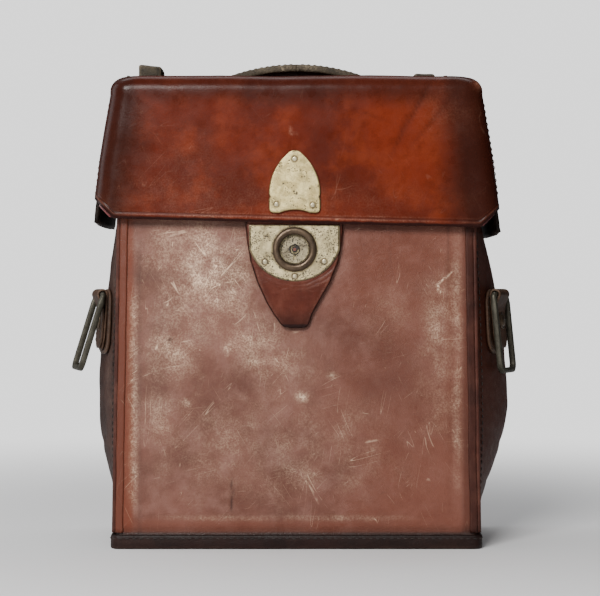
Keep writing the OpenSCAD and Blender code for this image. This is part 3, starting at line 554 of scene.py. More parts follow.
# ---------------------------------------------------------------- gussets
def gusset(side, name, replaced):
    ys = np.linspace(-INNER_Y, INNER_Y, 56)
    zs = np.linspace(1.8, MOUTH_Z, 130)
    y, z = np.meshgrid(ys, zs, indexing="ij")
    x = gusset_x(y, z, side)
    p = np.stack([x, y, z], -1)
    soft = across(y) * np.clip(swell(z) * 1.6, 0, 1)
    x = x + soft * (0.9 * wob(p, 38, 4.0 * side) + 0.35 * wob(p, 12, 9.0))
    x = x - soft * 1.1 * np.exp(-((y - 4 - 3 * np.sin(z / 40)) / 2.6) ** 2) * smooth(30, 70, z)
    x = x - soft * (0.9 * ridge(z, 34 + 0.2 * y, 3.0) + 0.7 * ridge(z, 52 - 0.25 * y, 3.5))
    p = np.stack([side * x, y, z], -1)
    # painted sheen: a pale stripe near the front of the left gusset, faint on the right
    wear_and_highlight = 0.55 * ridge(y, -30, 7) * smooth(40, 80, z) * (1 - smooth(150, 175, z))
    wear_and_highlight = wear_and_highlight if side < 0 else 0.12 * wear_and_highlight
    dirt_and_shade = 0.7 * (1 - smooth(-INNER_Y, -INNER_Y + 3, y)) + 0.7 * smooth(INNER_Y - 3, INNER_Y, y)
    # painted shade: the right gusset takes the brown tint
    tint_and_shade = np.full_like(z, 0.85 if side > 0 else 0.0)
    obj = sheet_mesh(name, p, 1.5, GUSSET, {"wear_and_highlight": wear_and_highlight, "dirt_and_shade": dirt_and_shade, "tint_and_shade": tint_and_shade}, flip=side < 0)
    return place(obj, "case", "gusset_leather", replaced)


gusset(-1, "left_gusset_hide", "left_gusset")
gusset(1, "right_gusset_hide", "right_gusset")


# ---------------------------------------------------------------- welts with stitching
def strip_profile(half, height, back=0.6, steps=8):
    """A flat leather strip with rounded shoulders, seen end on: (side, out) pairs, anticlockwise."""
    pts = [(-half, -back), (half, -back)]
    for a in np.linspace(0, 90, steps):
        pts.append((half - 0.8 + 0.8 * math.cos(math.radians(a)), height - 0.8 + 0.8 * math.sin(math.radians(a))))
    for a in np.linspace(90, 180, steps):
        pts.append((-half + 0.8 + 0.8 * math.cos(math.radians(a)), height - 0.8 + 0.8 * math.sin(math.radians(a))))
    return np.array(pts)


WELT = 4.0  # its width


def welts(side, name):
    """The strips and pipings along one side's two long seams. The front strip shows no stitches."""
    pieces, threads = [], []
    zs = np.linspace(8.6, 214, 90)
    shape = strip_profile(WELT / 2, 1.1)
    tinted = {"tint_and_shade": np.full(len(zs) * len(shape), 1.0), "dirt_and_shade": np.full(len(zs) * len(shape), 0.30)}
    for y_side in (-1, 1):
        line = np.stack([side * (half_w(zs) - 1.2 - WELT / 2), np.full_like(zs, y_side * (BACK_Y - 0.25)), zs], -1)
        line[:, 0] += 0.25 * wob(line, 20, 1.0)
        line[:, 1] += y_side * 0.15 * wob(line, 14, 6.0)
        out = np.tile([0.12 * side, y_side, 0.0], (len(zs), 1))
        out /= np.linalg.norm(out, axis=1, keepdims=True)
        pieces.append(tube("tmp", line, shape, out, BODY if side < 0 and y_side < 0 else EDGE, attrs=tinted))
        # a round piping where front and gusset meet
        pipe = np.stack([side * (half_w(zs) - 0.4), np.full_like(zs, y_side * (BACK_Y - 1.2)), zs], -1)
        ring = np.array([(1.25 * math.cos(a), 1.25 * math.sin(a)) for a in np.linspace(0, 2 * math.pi, 11)[:-1]])
        pieces.append(tube("tmp", pipe, ring, np.tile([side * 0.7, y_side * 0.7, 0.0], (len(zs), 1)), EDGE))
        if y_side > 0:
            threads += stitch_parts(line + out * 1.1, out, pitch=3.4, length=2.4, r=0.3, lift=0.02)
        seam_y = np.full_like(zs, y_side * 38.6)
        rear = np.stack([side * (gusset_x(seam_y, zs, side) + 0.1), seam_y, zs], -1)
        threads += stitch_parts(rear, np.tile([side, y_side * 0.3, 0.0], (len(zs), 1)), pitch=3.4, length=2.3, r=0.3)
    obj = join(name, pieces)
    place(obj, "case", "edge_leather", "left_welts" if side < 0 else "right_welts")
    place(merge(name + "_stitches", threads, THREAD_DARK), "case", "edge_leather")


def join(name, objs):
    """Joins mesh objects into the first one."""
    for o in bpy.context.selected_objects:
        o.select_set(False)
    for o in objs:
        o.select_set(True)
    bpy.context.view_layer.objects.active = objs[0]
    bpy.ops.object.join()
    objs[0].name = name
    objs[0].data.name = name
    return objs[0]


welts(-1, "left_welt_strips")
welts(1, "right_welt_strips")


# ---------------------------------------------------------------- base band
def rounded_loop(half_x, half_y, r, z, n_side=60, n_corner=8):
    """A rounded rectangle, anticlockwise seen from above, and its outward directions."""
    pts, nor = [], []
    cx, cy = half_x - r, half_y - r
    corners = [(cx, cy, 0), (-cx, cy, 90), (-cx, -cy, 180), (cx, -cy, 270)]
    for k, (cx, cy, a0) in enumerate(corners):
        for a in np.linspace(a0, a0 + 90, n_corner):
            d = (math.cos(math.radians(a)), math.sin(math.radians(a)))
            pts.append((cx + r * d[0], cy + r * d[1], z))
            nor.append((d[0], d[1], 0))
        nx, ny, _ = corners[(k + 1) % 4]
        end = math.radians(a0 + 90)
        p0 = np.array(pts[-1][:2])
        p1 = np.array([nx + r * math.cos(end), ny + r * math.sin(end)])
        for f in np.linspace(0, 1, n_side)[1:-1]:
            q = p0 + (p1 - p0) * f
            pts.append((q[0], q[1], z))
            nor.append((math.cos(end), math.sin(end), 0))
    return np.array(pts), np.array(nor)


def base_band():
    path, nor = rounded_loop(96.9, 46.4, 5, 3.7)
    n = len(path)
    shape = []
    for out, up in ((-1.4, -3.65), (-0.5, -3.65), (0.0, -3.1), (0.15, -1.5), (0.1, 0.4), (0.1, 2.2), (-0.1, 3.3),
                    (-0.7, 3.75), (-1.45, 3.6)):
        shape.append((up, out))
    prof = np.tile(np.array(shape), (n, 1, 1))
    w1 = wob(path, 9, 3.0, 3)
    w2 = wob(path, 30, 7.0)
    for k in range(2, 8):
        prof[:, k, 1] += 0.28 * w1 * math.sin(k * 1.7) + 0.2 * w2
        if k >= 6:
            prof[:, k, 0] += 0.25 * w1
    side = np.cross(np.roll(path, -1, 0) - np.roll(path, 1, 0), nor)
    if side[0, 2] < 0:
        prof[:, :, 0] *= -1
    k = prof.shape[1]
    # a pale line along the bottom edge; the pale line along the middle, stronger to the left, is a painted highlight
    wear_and_highlight = np.zeros((n, k))
    wear_and_highlight[:, 2] = 0.7
    wear_and_highlight[:, 4] = 0.35 * smooth(20, 95, -path[:, 0])
    # painted shade: the whole band is darkened, its upper rows most
    band_shade = np.full((n, k), 0.85)
    band_shade[:, 6:] = 0.95
    attrs = {"wear_and_highlight": wear_and_highlight.reshape(-1), "dirt_and_shade": band_shade.reshape(-1)}
    obj = tube("base_band_hide", path, prof, nor, EDGE, closed=True, attrs=attrs)
    place(obj, "case", "edge_leather", "base_band")
    line, nor2 = rounded_loop(97.0, 46.5, 5, 5.6)
    threads = stitch_parts(line, nor2, pitch=3.6, length=2.4, r=0.28, lift=0.0)
    place(merge("base_band_stitches", threads, THREAD_DARK), "case", "edge_leather")


base_band()


# ---------------------------------------------------------------- lid hood
def lid_half(z):
    return np.interp(z, [160, 200, SHOULDER_Z], [97 + 10.2 * (76 / 70) ** 0.8, 97 + 10.2 * (36 / 70) ** 0.8, 97])


def hood_outline(t, z, inset):
    """A point of the hood's U-shaped outline: t runs 0..1 from the left rear, round the front, to the right rear."""
    half = lid_half(np.minimum(z, SHOULDER_Z)) - inset
    front = LID_FRONT + inset
    r = CORNER_R
    s = np.abs(t - 0.5) * 2
    side = np.sign(t - 0.5)
    side = np.where(side == 0, 1, side)
    a = np.clip(s / 0.58, 0, 1)
    b = np.clip((s - 0.58) / 0.12, 0, 1)
    c = np.clip((s - 0.70) / 0.30, 0, 1)
    ang = b * np.pi / 2
    x = (half - r) * a + r * np.sin(ang)
    y = front + r * (1 - np.cos(ang)) + (BACK_Y - front - r) * c
    return side * x, y


def edge_z(x, y):
    base = EDGE_Z - EDGE_SLOPE * x
    return base + np.maximum(0, np.abs(x) - 94.5) * 0.85 + np.where(y > -44, (y + 44) * 0.25, 0)


def lid_cover():
    s_front = np.linspace(-0.58, 0.58, 121)
    s_corner = np.linspace(0.58, 0.70, 10)[1:]
    s_side = np.linspace(0.70, 1.0, 36)[1:]
    s = np.concatenate([-s_side[::-1], -s_corner[::-1], s_front, s_corner, s_side])
    t = 0.5 + s / 2
    n_low, n_fold, n_top = 64, 8, 30
    rows_p, kinds = [], []
    x0, y0 = hood_outline(t, np.full_like(t, 172.0), 0)
    low = edge_z(x0, y0)
    for v in np.linspace(0, 1, n_low):
        v = v ** 1.6
        z = low + (SHOULDER_Z - low) * v
        x, y = hood_outline(t, z, 0)
        rows_p.append(np.stack([x, y, z], -1))
        kinds.append(0)
    for a in np.linspace(0, 90, n_fold + 1):
        a = math.radians(a)
        z = np.full_like(t, TOP_Z - FOLD_R + FOLD_R * math.sin(a))
        x, y = hood_outline(t, z, FOLD_R * (1 - math.cos(a)))
        rows_p.append(np.stack([x, y, z], -1))
        kinds.append(1)
    last = rows_p[-1]
    far_x = last[0, 0] + (last[-1, 0] - last[0, 0]) * (np.arange(len(t)) / (len(t) - 1))
    far = np.stack([far_x, np.full_like(t, BACK_Y), np.full_like(t, TOP_Z)], -1)
    for f in np.linspace(0, 1, n_top)[1:]:
        rows_p.append(last + (far - last) * f)
        kinds.append(2)
    p = np.stack(rows_p)
    n = grid_normals(p)
    centre = n[20, len(t) // 2]
    flip = centre[1] > 0
    if flip:
        n = -n
    n[0], n[-1] = n[1], n[-2]
    n[-1] = (0, 0, 1)
    x, y, z = p[..., 0], p[..., 1], p[..., 2]
    d = z - low[None]
    frontish = smooth(0, 0.6, -n[..., 1])
    lift = 0.45 * wob(p, 60, 2.0) + 0.16 * wob(p, 16, 5.0, 3)
    lift = lift * smooth(0, 6, np.abs(y - BACK_Y))
    # fine creases towards the upper right
    folds = np.zeros_like(z)
    for cx, cz, ang, width, length, depth in ((62, 229, 62, 1.2, 17, 0.55), (70, 222, 50, 1.0, 15, 0.45),
                                              (54, 217, 70, 1.1, 12, 0.35), (38, 225, 160, 1.0, 9, 0.3)):
        ca, sa = math.cos(math.radians(ang)), math.sin(math.radians(ang))
        along_c = (x - cx) * ca + (z - cz) * sa
        off = -(x - cx) * sa + (z - cz) * ca
        crease = np.exp(-(off / width) ** 2 - (along_c / length) ** 2) * frontish
        lift = lift - 0.25 * depth * crease
        folds = folds + depth * crease
    low_rows = np.array(kinds)[:, None] == 0
    hem = 0.28 * ridge(d, 2.3, 0.5) - 0.22 * ridge(d, 3.3, 0.4) - 0.30 * (1 - smooth(0.2, 1.6, d))
    lift = lift + np.where(low_rows, hem, 0) * frontish
    p = p + n * (lift + 0.15)[..., None]
    faded = 0.25 + 0.75 * smooth(-95, -40, x) * (1 - smooth(30, 90, x))
    wear_and_highlight = np.where(low_rows, 0.8 * ridge(d, 2.3, 0.35) + 0.35 * ridge(d, 4.1, 0.35), 0) * faded
    wear_and_highlight = wear_and_highlight + spots(x, z, ((-60, 196, 24, 22, 0.12), (74, 226, 16, 12, 0.12), (-10, 180, 75, 11, 0.16)))
    # a short scratch with a corner
    wear_and_highlight = wear_and_highlight + 0.5 * ridge(x, -3.2, 0.5) * band(z, 214, 215, 218, 219)
    wear_and_highlight = wear_and_highlight + 0.5 * ridge(z, 215, 0.5) * band(x, -4, -3.4, 0, 1)
    wear_and_highlight = wear_and_highlight * frontish + 0.75 * blob(x, z, 95, 242, 3.0, 3.0)
    # a black lowest edge: a burnished edge and painted shade under the hem; the darker line in the hem's groove and
    # the darkening along the creases are painted shade
    ragged = d + 0.35 * wob(p, 3.5, 4.0, 2)
    dirt_and_shade = np.where(low_rows, 1 - smooth(1.1, 1.7, ragged) + 0.5 * ridge(d, 3.3, 0.4), 0)
    dirt_and_shade = dirt_and_shade * smooth(0, 0.3, -n[..., 1]) + 0.9 * folds
    # painted shade: the tint darkens the lid towards its left and right sides, more to the right, and along the top
    taper = np.abs(x) - 0.16 * (SHOULDER_Z - np.minimum(z, SHOULDER_Z))
    tint_and_shade = 0.95 * smooth(66, 88, taper + 5 * smooth(0, 60, x) + 3 * wob(p, 30, 3.0))
    tint_and_shade = np.maximum(tint_and_shade, 0.72 * smooth(226, 238, z + 2 * wob(p, 25, 6.0)))
    tint_and_shade = np.clip(tint_and_shade * (1 - wear_and_highlight), 0, 1)
    mid_y = (p[:-1, :-1, 1] + p[1:, 1:, 1]) / 2
    mask = np.ones((p.shape[0] - 1, p.shape[1] - 1), bool)
    mask[: n_low - 1] = mid_y[: n_low - 1] < END_Y + 1.2
    attrs = {"wear_and_highlight": np.clip(wear_and_highlight, 0, 1), "dirt_and_shade": np.clip(dirt_and_shade, 0, 1), "tint_and_shade": tint_and_shade}
    obj = sheet_mesh("lid_cover_hide", p, 1.4, LID, attrs, mask=mask, flip=flip, round_edge=0.25)
    place(obj, "lid", "lid_leather", "lid_cover", "lid_edge_binding")


lid_cover()


def lid_end(side, name, replaced):
    """The hood's side wall, behind the cover's corner and a little lower."""
    cs = np.linspace(0, 1, 40)
    vs = np.linspace(0, 1, 34)
    c, v = np.meshgrid(cs, vs, indexing="ij")
    front_s = 0.70 + 0.30 * (END_Y - 2.5 - (LID_FRONT + CORNER_R)) / (BACK_Y - LID_FRONT - CORNER_R)
    s = front_s + (1 - front_s) * c
    t = 0.5 + side * s / 2
    x0 = side * 105.0
    low = EDGE_Z - EDGE_SLOPE * x0 - 1.6 - 1.0 * smooth(0, 0.3, c) + 0.8 * smooth(0.6, 1, c)
    z = low + (SHOULDER_Z + 1.0 - low) * v
    x, y = hood_outline(t, z, 0)
    p = np.stack([x, y, z], -1)
    lift = 0.5 * wob(p, 40, 3.0 * side) + 0.2 * wob(p, 13, 7.0) - 0.25
    hem = np.exp(-((z - low - 0.8) / 0.8) ** 2) * 0.3 - np.exp(-((z - low - 2.6) / 0.6) ** 2) * 0.3
    p[..., 0] += side * (lift + hem)
    wear_and_highlight = 0.5 * np.exp(-((z - low - 0.6) / 0.7) ** 2) + 0.2 * blob(y, z, 0, 200, 30, 20)
    # painted shade along the strip that runs under the cover's corner; a darker line along the stitch groove
    dirt_and_shade = 0.5 * np.exp(-((z - low - 2.6) / 0.6) ** 2) + 0.7 * (1 - smooth(0.0, 0.05, c))
    n = grid_normals(p)
    flip = n[20, 16, 0] * side < 0
    obj = sheet_mesh(name, p, 2.6, SHADED_END, {"wear_and_highlight": wear_and_highlight, "dirt_and_shade": dirt_and_shade}, flip=flip, round_edge=0.3)
    place(obj, "lid", "lid_end_leather", replaced)
    threads = []
    k = int(np.argmin(np.abs(z[20] - low[20] - 2.6)))
    threads += stitch_parts(p[2:, k], np.tile([side, 0.0, 0.1], (38, 1)), pitch=3.2, length=2.2, r=0.28, lift=0.1)
    place(merge(name + "_stitches", threads, THREAD), "lid", "lid_end_leather")
    # the cover's seam on the side, sewn over the end
    zs = np.linspace(184, 233, 40)
    x, y = hood_outline(np.full_like(zs, 0.5 + side * 0.70 / 2), zs, 0)
    seam = np.stack([x + side * 0.75, np.full_like(zs, END_Y - 2.0), zs], -1)
    top_y = np.linspace(END_Y, BACK_Y - 3, 60)
    top = np.stack([np.full_like(top_y, side * 97.6), top_y, np.full_like(top_y, SHOULDER_Z + 2.2)], -1)
    sewn = stitch_parts(seam, np.tile([side, -0.1, 0.15], (len(seam), 1)), pitch=3.2, length=2.0, r=0.24, lift=-0.12)
    sewn += stitch_parts(top, np.tile([side, 0.0, 0.2], (len(top), 1)), pitch=3.2, length=2.0, r=0.24, lift=-0.12)
    place(merge(name + "_seam", sewn, THREAD_PALE), "lid", "lid_leather")


lid_end(-1, "lid_left_end_hide", "lid_left_end")
lid_end(1, "lid_right_end_hide", "lid_right_end")


# ---------------------------------------------------------------- hinge leather
def hinge_leather():
    path = []
    for z in np.linspace(206, 243.5, 26):
        path.append((BACK_Y + 1.45, z))
    for a in np.linspace(10, 90, 8):
        path.append((BACK_Y - 1.1 + 2.55 * math.cos(math.radians(a)), 244.2 + 2.55 * math.sin(math.radians(a))))
    for y in np.linspace(BACK_Y - 3, BACK_Y - 9, 5):
        path.append((y, 246.8))
    path = np.array(path)
    xs = np.linspace(-84, 84, 90)
    x = np.broadcast_to(xs[:, None], (len(xs), len(path)))
    p = np.stack([x, np.broadcast_to(path[:, 0], x.shape), np.broadcast_to(path[:, 1], x.shape)], -1).copy()
    p[..., 1] += 0.12 * wob(p, 14, 3.0)
    end = np.minimum(np.abs(x + 84), np.abs(x - 84))
    dirt_and_shade = 0.4 * np.exp(-((p[..., 2] - 243) / 1.5) ** 2) + 0.3 * (1 - smooth(0, 2, end))
    wear_and_highlight = 0.45 * np.exp(-((p[..., 2] - 245.5) / 1.2) ** 2)
    n = grid_normals(p)
    obj = sheet_mesh("hinge_hide", p, 1.1, EDGE, {"wear_and_highlight": wear_and_highlight, "dirt_and_shade": dirt_and_shade}, flip=n[40, 10, 1] < 0, round_edge=0.2)
    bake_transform(obj)
    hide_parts("hinge_strip")
    line = np.stack([np.linspace(-82, 82, 120), np.full(120, BACK_Y + 1.5), np.full(120, 208.6)], -1)
    place(merge("hinge_stitches", stitch_parts(line, (0, 1, 0), r=0.3), THREAD), "case", "edge_leather")


hinge_leather()


# ---------------------------------------------------------------- metal plates
def radial_plate(name, centre, inner_r, outline, y_back, thick, material, bevel=0.35, steps=240, rings=34,
                 rivets=()):
    """A flat plate round a centre in the XZ plane: outline(angle) is its outer radius, inner_r its hole."""
    ang = np.arange(steps) * 2 * np.pi / steps
    outer = np.array([outline(a) for a in ang])
    rows = []
    edge = []
    fr = np.linspace(0, 1, rings)
    fr = np.append(fr[:-1], [0.945, 0.97, 1.0])
    for k, f in enumerate(fr):
        r = inner_r + (outer - bevel - inner_r) * f
        y = np.full(steps, y_back - thick)
        y += 0.08 * np.sin(ang * 3 + 1.0) * f
        rows.append((r, y))
        edge.append(0.0 if k < len(fr) - 3 else (0.35, 0.75, 0.9)[k - len(fr) + 3])
    rows.append((outer - bevel * 0.3, np.full(steps, y_back - thick + bevel * 0.3)))
    rows.append((outer, np.full(steps, y_back - thick + bevel)))
    rows.append((outer, np.full(steps, y_back)))
    rows.append((np.full(steps, inner_r + 0.01), np.full(steps, y_back)))
    edge += [0.9, 1.0, 1.0, 1.0]
    verts = []
    for r, y in rows:
        verts.append(np.stack([centre[0] + r * np.sin(ang), y, centre[1] + r * np.cos(ang)], -1))
    verts = np.concatenate(verts)
    faces = [q[:1] + q[:0:-1] for q in quads(len(rows), steps, loop=True)]
    shade = np.repeat(edge, steps)
    for rx, rz in rivets:
        gap = np.hypot(verts[:, 0] - rx, verts[:, 2] - rz)
        shade = np.maximum(shade, ridge(gap, 1.5, 0.5))
    from_centre = np.hypot(verts[:, 0] - centre[0], verts[:, 2] - centre[1])
    shade = np.maximum(shade, 0.7 * ridge(from_centre, 11.6, 0.7))
    return build(name, verts, faces, material, {"edge": shade})


UPPER_RIVETS = [(-1.0, 202.2), (-10.3, 178.8), (8.4, 178.4)]
TONGUE_RIVETS = [(-16.3, 149.2), (14.4, 149.4), (-0.9, 141.7)]
TONGUE_OUT = -48.3
BOSS_FRONT = -47.3
TONGUE_TOP = EDGE_Z - 0.8


def round_outline(a):
    """The round plate about (LOCK_X, 164), clipped under the lid's edge, seen from the lock's centre."""
    dz = 164 - LOCK_Z
    reach = dz * math.cos(a) + math.sqrt(25 ** 2 - (dz * math.sin(a)) ** 2)
    if math.cos(a) > 1e-6:
        reach = min(reach, (TONGUE_TOP - 0.1 - LOCK_Z) / math.cos(a))
    if abs(math.sin(a)) > 1e-6:
        reach = min(reach, 23.6 / abs(math.sin(a)))
    return reach


place(radial_plate("round_plate", (LOCK_X, LOCK_Z), 7.7, round_outline, TONGUE_OUT, 1.0, PITTED, rivets=TONGUE_RIVETS),
      "tongue", "worn_nickel", "tongue_plate")


def lock_ring(name, y, profile, steps, material):
    """A ring about the lock's axis; heights in its profile are counted forward from y."""
    return build(name, *turned(profile, (LOCK_X, y, LOCK_Z), (0, -1, 0), steps, ring=True), material)


collar = lock_ring("collar_ring", TONGUE_OUT - 1.0, [
    (7.65, 0), (11.5, 0), (11.5, 0.45), (11.2, 0.95), (10.6, 1.35), (9.8, 1.55), (9.0, 1.5), (8.3, 1.2), (7.85, 0.7),
    (7.65, 0.2)], 72, BRONZE)
place(collar, "tongue", "dark_brass", "tongue_collar")
# a near-black ring lining the keyhole, with a thin lip: painted shade in the hole
lip = lock_ring("keyhole_rim", BOSS_FRONT, [
    (2.3, -1.2), (2.6, -1.2), (2.6, -0.2), (2.85, -0.2), (2.8, 0.04), (2.5, 0.08), (2.3, -0.1)], 40, SHADE_BLACK)
place(lip, "case", "dark_steel")


def ogive_plate():
    """The bullet-shaped plate on the lid, with a hollow lower edge and two small nicks in its sides."""
    px, low, high, half = -0.9, 174.4, 32.3, 13.4
    top_r = 5.0
    rise = high - top_r - 10
    big = (rise * rise + half * half - top_r * top_r) / (2 * (half - top_r))
    zs = 1 - (1 - np.linspace(0, 1, 74)) ** 1.5
    us = np.linspace(-1, 1, 48)
    u, v = np.meshgrid(us, zs, indexing="ij")
    top = low + high - 0.02
    hollow = low - 18.9 + np.sqrt(20.5 ** 2 - (u * half) ** 2)
    floor = np.maximum(hollow, low) + 2.4 * (1 - np.sqrt(1 - np.clip((np.abs(u) - 0.8) / 0.2, 0, 1) ** 2))
    z = floor + (top - floor) * v
    up = z - low - 10
    arc = np.sqrt(np.maximum(0, big ** 2 - np.maximum(up, 0) ** 2)) - (big - half)
    cap = np.sqrt(np.maximum(0.0001, top_r ** 2 - np.clip(z - (low + high - top_r), 0, top_r) ** 2))
    reach = np.where(z - low < 31.2, arc, cap)
    nick = 0.45 * ridge(z, 182.6, 0.6)
    x = px + u * (reach - nick)
    y = np.full_like(x, LID_FRONT - 1.5) - 0.10 * (1 - u ** 2) + 0.30 * np.clip((np.abs(u) - 0.95) / 0.05, 0, 1) ** 2
    p = np.stack([x, y, z], -1)
    side_gap = (1 - np.abs(u)) * reach
    rim = 0.85 * (1 - smooth(0.1, 0.9, np.minimum(side_gap, np.minimum(z - floor, top - z))))
    rim = np.clip(rim + 0.8 * ridge(z, 182.6, 0.8) * (1 - smooth(0.4, 1.6, side_gap)), 0, 1)
    for rx, rz in UPPER_RIVETS:
        rim = np.maximum(rim, np.exp(-((np.hypot(x - rx, z - rz) - 1.5) / 0.5) ** 2))
    n = grid_normals(p)
    obj = sheet_mesh("bullet_plate", p, 0.95, NICKEL, {"edge": rim}, flip=n[20, 30, 1] > 0, round_edge=0.2)
    place(obj, "lid", "worn_nickel", "upper_plate")


ogive_plate()

for name, body, where, y in (("upper_rivet_heads", "lid", UPPER_RIVETS, LID_FRONT - 1.55),
                             ("tongue_rivet_heads", "tongue", TONGUE_RIVETS, TONGUE_OUT - 0.95)):
    heads = merge(name, [rivet((x, y, z), (0, -1, 0), 1.15, 0.35) for x, z in where], HEAD)
    place(heads, body, "worn_nickel", "upper_plate_rivets" if body == "lid" else "tongue_rivets")


# ---------------------------------------------------------------- tongue leather
def tongue():
    """One strap from under the lid down to its blunt tip, with the lock's hole, and a tip that lies back towards the
    case.
    """
    zs = np.concatenate([np.linspace(206, 172, 14)[:-1], np.linspace(172, 114.9, 104)])
    left_z = [114.9, 115.6, 117, 122.3, 127.8, 138.7, 149.6, 160, 168.5, 206]
    left_x = [-3.6, -6.0, -7.4, -11.3, -14.6, -19.6, -23.1, -24.9, -25.6, -20]
    right_z = [114.9, 115.6, 117, 122.3, 127.8, 138.7, 149.6, 160, 168.5, 206]
    right_x = [5.0, 6.6, 7.7, 9.4, 12.4, 18.7, 23.0, 24.8, 25.4, 20]
    us = np.linspace(0, 1, 66)
    u, z = np.meshgrid(us, zs, indexing="ij")
    a = LOCK_X + np.interp(z, left_z, left_x)
    b = LOCK_X + np.interp(z, right_z, right_x)
    x = a + (b - a) * u
    p = np.stack([x, np.zeros_like(x), z], -1)
    edge = np.minimum(x - a, b - x)
    under = 1 - smooth(136, 146, z)
    ripple = np.hypot(x - LOCK_X, z - 164) - 25
    near = ridge(ripple, 2.6, 2.4) * (ripple > 0) * (0.35 + 0.65 * smooth(-8, 10, x))
    y = TONGUE_OUT + 0.14 * wob(p, 8, 4.0, 3) * under + 0.45 * (1 - smooth(0, 1.3, edge)) ** 2
    y = y - 0.9 * ridge(z, 137, 8.0) * (0.5 + 0.5 * np.sin(np.pi * u)) + 0.35 * (1 - smooth(114.9, 124, z))
    y = y - 0.17 * near * np.sin(ripple * 3.1 + 1.6 * wob(p, 7, 3.0))
    for cx, cz, slope in ((-7, 135.5, 0.35), (6, 134.6, -0.35), (1, 131.4, 0.05)):
        y = y + 0.16 * np.exp(-((z - cz - slope * (x - cx)) / 0.55) ** 2 - ((x - cx) / 6.0) ** 2)
    y = np.where(z > TONGUE_TOP, np.minimum(y, TONGUE_OUT), y)
    p[..., 1] = np.where(z > 170, -48.5, y)
    rr = np.hypot(x - LOCK_X, z - LOCK_Z)
    cell = (rr[:-1, :-1] + rr[1:, 1:] + rr[:-1, 1:] + rr[1:, :-1]) / 4
    mask = cell > 9.0
    push = rr < 8.9
    ang = np.arctan2(z - LOCK_Z, x - LOCK_X)
    p[..., 0] = np.where(push & (rr > 7.5), LOCK_X + 8.9 * np.cos(ang), p[..., 0])
    p[..., 2] = np.where(push & (rr > 7.5), LOCK_Z + 8.9 * np.sin(ang), p[..., 2])
    # a pale line inside the edge; the pale crests of the ripples near the plate, stronger to the right, are painted
    # highlights
    wear_and_highlight = 0.22 * ridge(edge, 1.6, 0.5) + 0.40 * near * (0.5 + 0.5 * np.sin(ripple * 3.1)) * smooth(-2, 12, x)
    fringe = edge + 0.25 * wob(p, 2.5, 7.0)
    dirt_and_shade = 1 - smooth(0.5, 1.1, fringe)
    dirt_and_shade = np.maximum(dirt_and_shade, 1 - smooth(116.6, 117.6, z + 0.3 * wob(p, 4, 3.0)))
    # painted shade: the strap darkens towards its tip
    dirt_and_shade = np.maximum(dirt_and_shade, 0.55 * (1 - smooth(117, 126, z)))
    n = grid_normals(p)
    obj = sheet_mesh("tongue_strap", p, 2.0, TONGUE, {"wear_and_highlight": wear_and_highlight, "dirt_and_shade": dirt_and_shade}, mask=mask, flip=n[33, 60, 1] > 0,
                     round_edge=0.3)
    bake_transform(obj)
    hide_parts("tongue_leather", "tongue_root")


tongue()


# ---------------------------------------------------------------- lugs: patch, chape, rivet and ring
def lug_frame(side):
    b = BULGE[side]
    s, c = float(swell(np.array(118.0))), float(across(np.array(-20.0)))
    tilt = math.atan(b * s * math.sin(math.pi / 2 * 32 / 55.4) * math.pi / 2 / 55.4)
    lean = math.atan(b * c * math.sin(math.pi / 2 * 41 / 123) * math.pi / 2 / 123 + 3.5 / 222)
    x0 = 95.5 - 3.5 * 118 / 222 - 0.2 + b * s * c + 0.35

    def to_world(p):
        p = np.asarray(p, float)
        x, y, z = p[..., 0], p[..., 1], p[..., 2]
        ca, sa = math.cos(-lean), math.sin(-lean)
        x, z = x * ca + z * sa, -x * sa + z * ca
        ca, sa = math.cos(-tilt), math.sin(-tilt)
        x, y = x * ca - y * sa, x * sa + y * ca
        return np.stack([side * (x + x0), y - 20, z + 118], -1)

    return to_world


def direction(to_world, d):
    return to_world(np.array(d, float)) - to_world(np.zeros(3))


def squircle(half_w_, half_h, power, steps):
    a = np.arange(steps) * 2 * np.pi / steps
    c, s = np.cos(a), np.sin(a)
    return half_w_ * np.sign(c) * np.abs(c) ** (2 / power), half_h * np.sign(s) * np.abs(s) ** (2 / power)


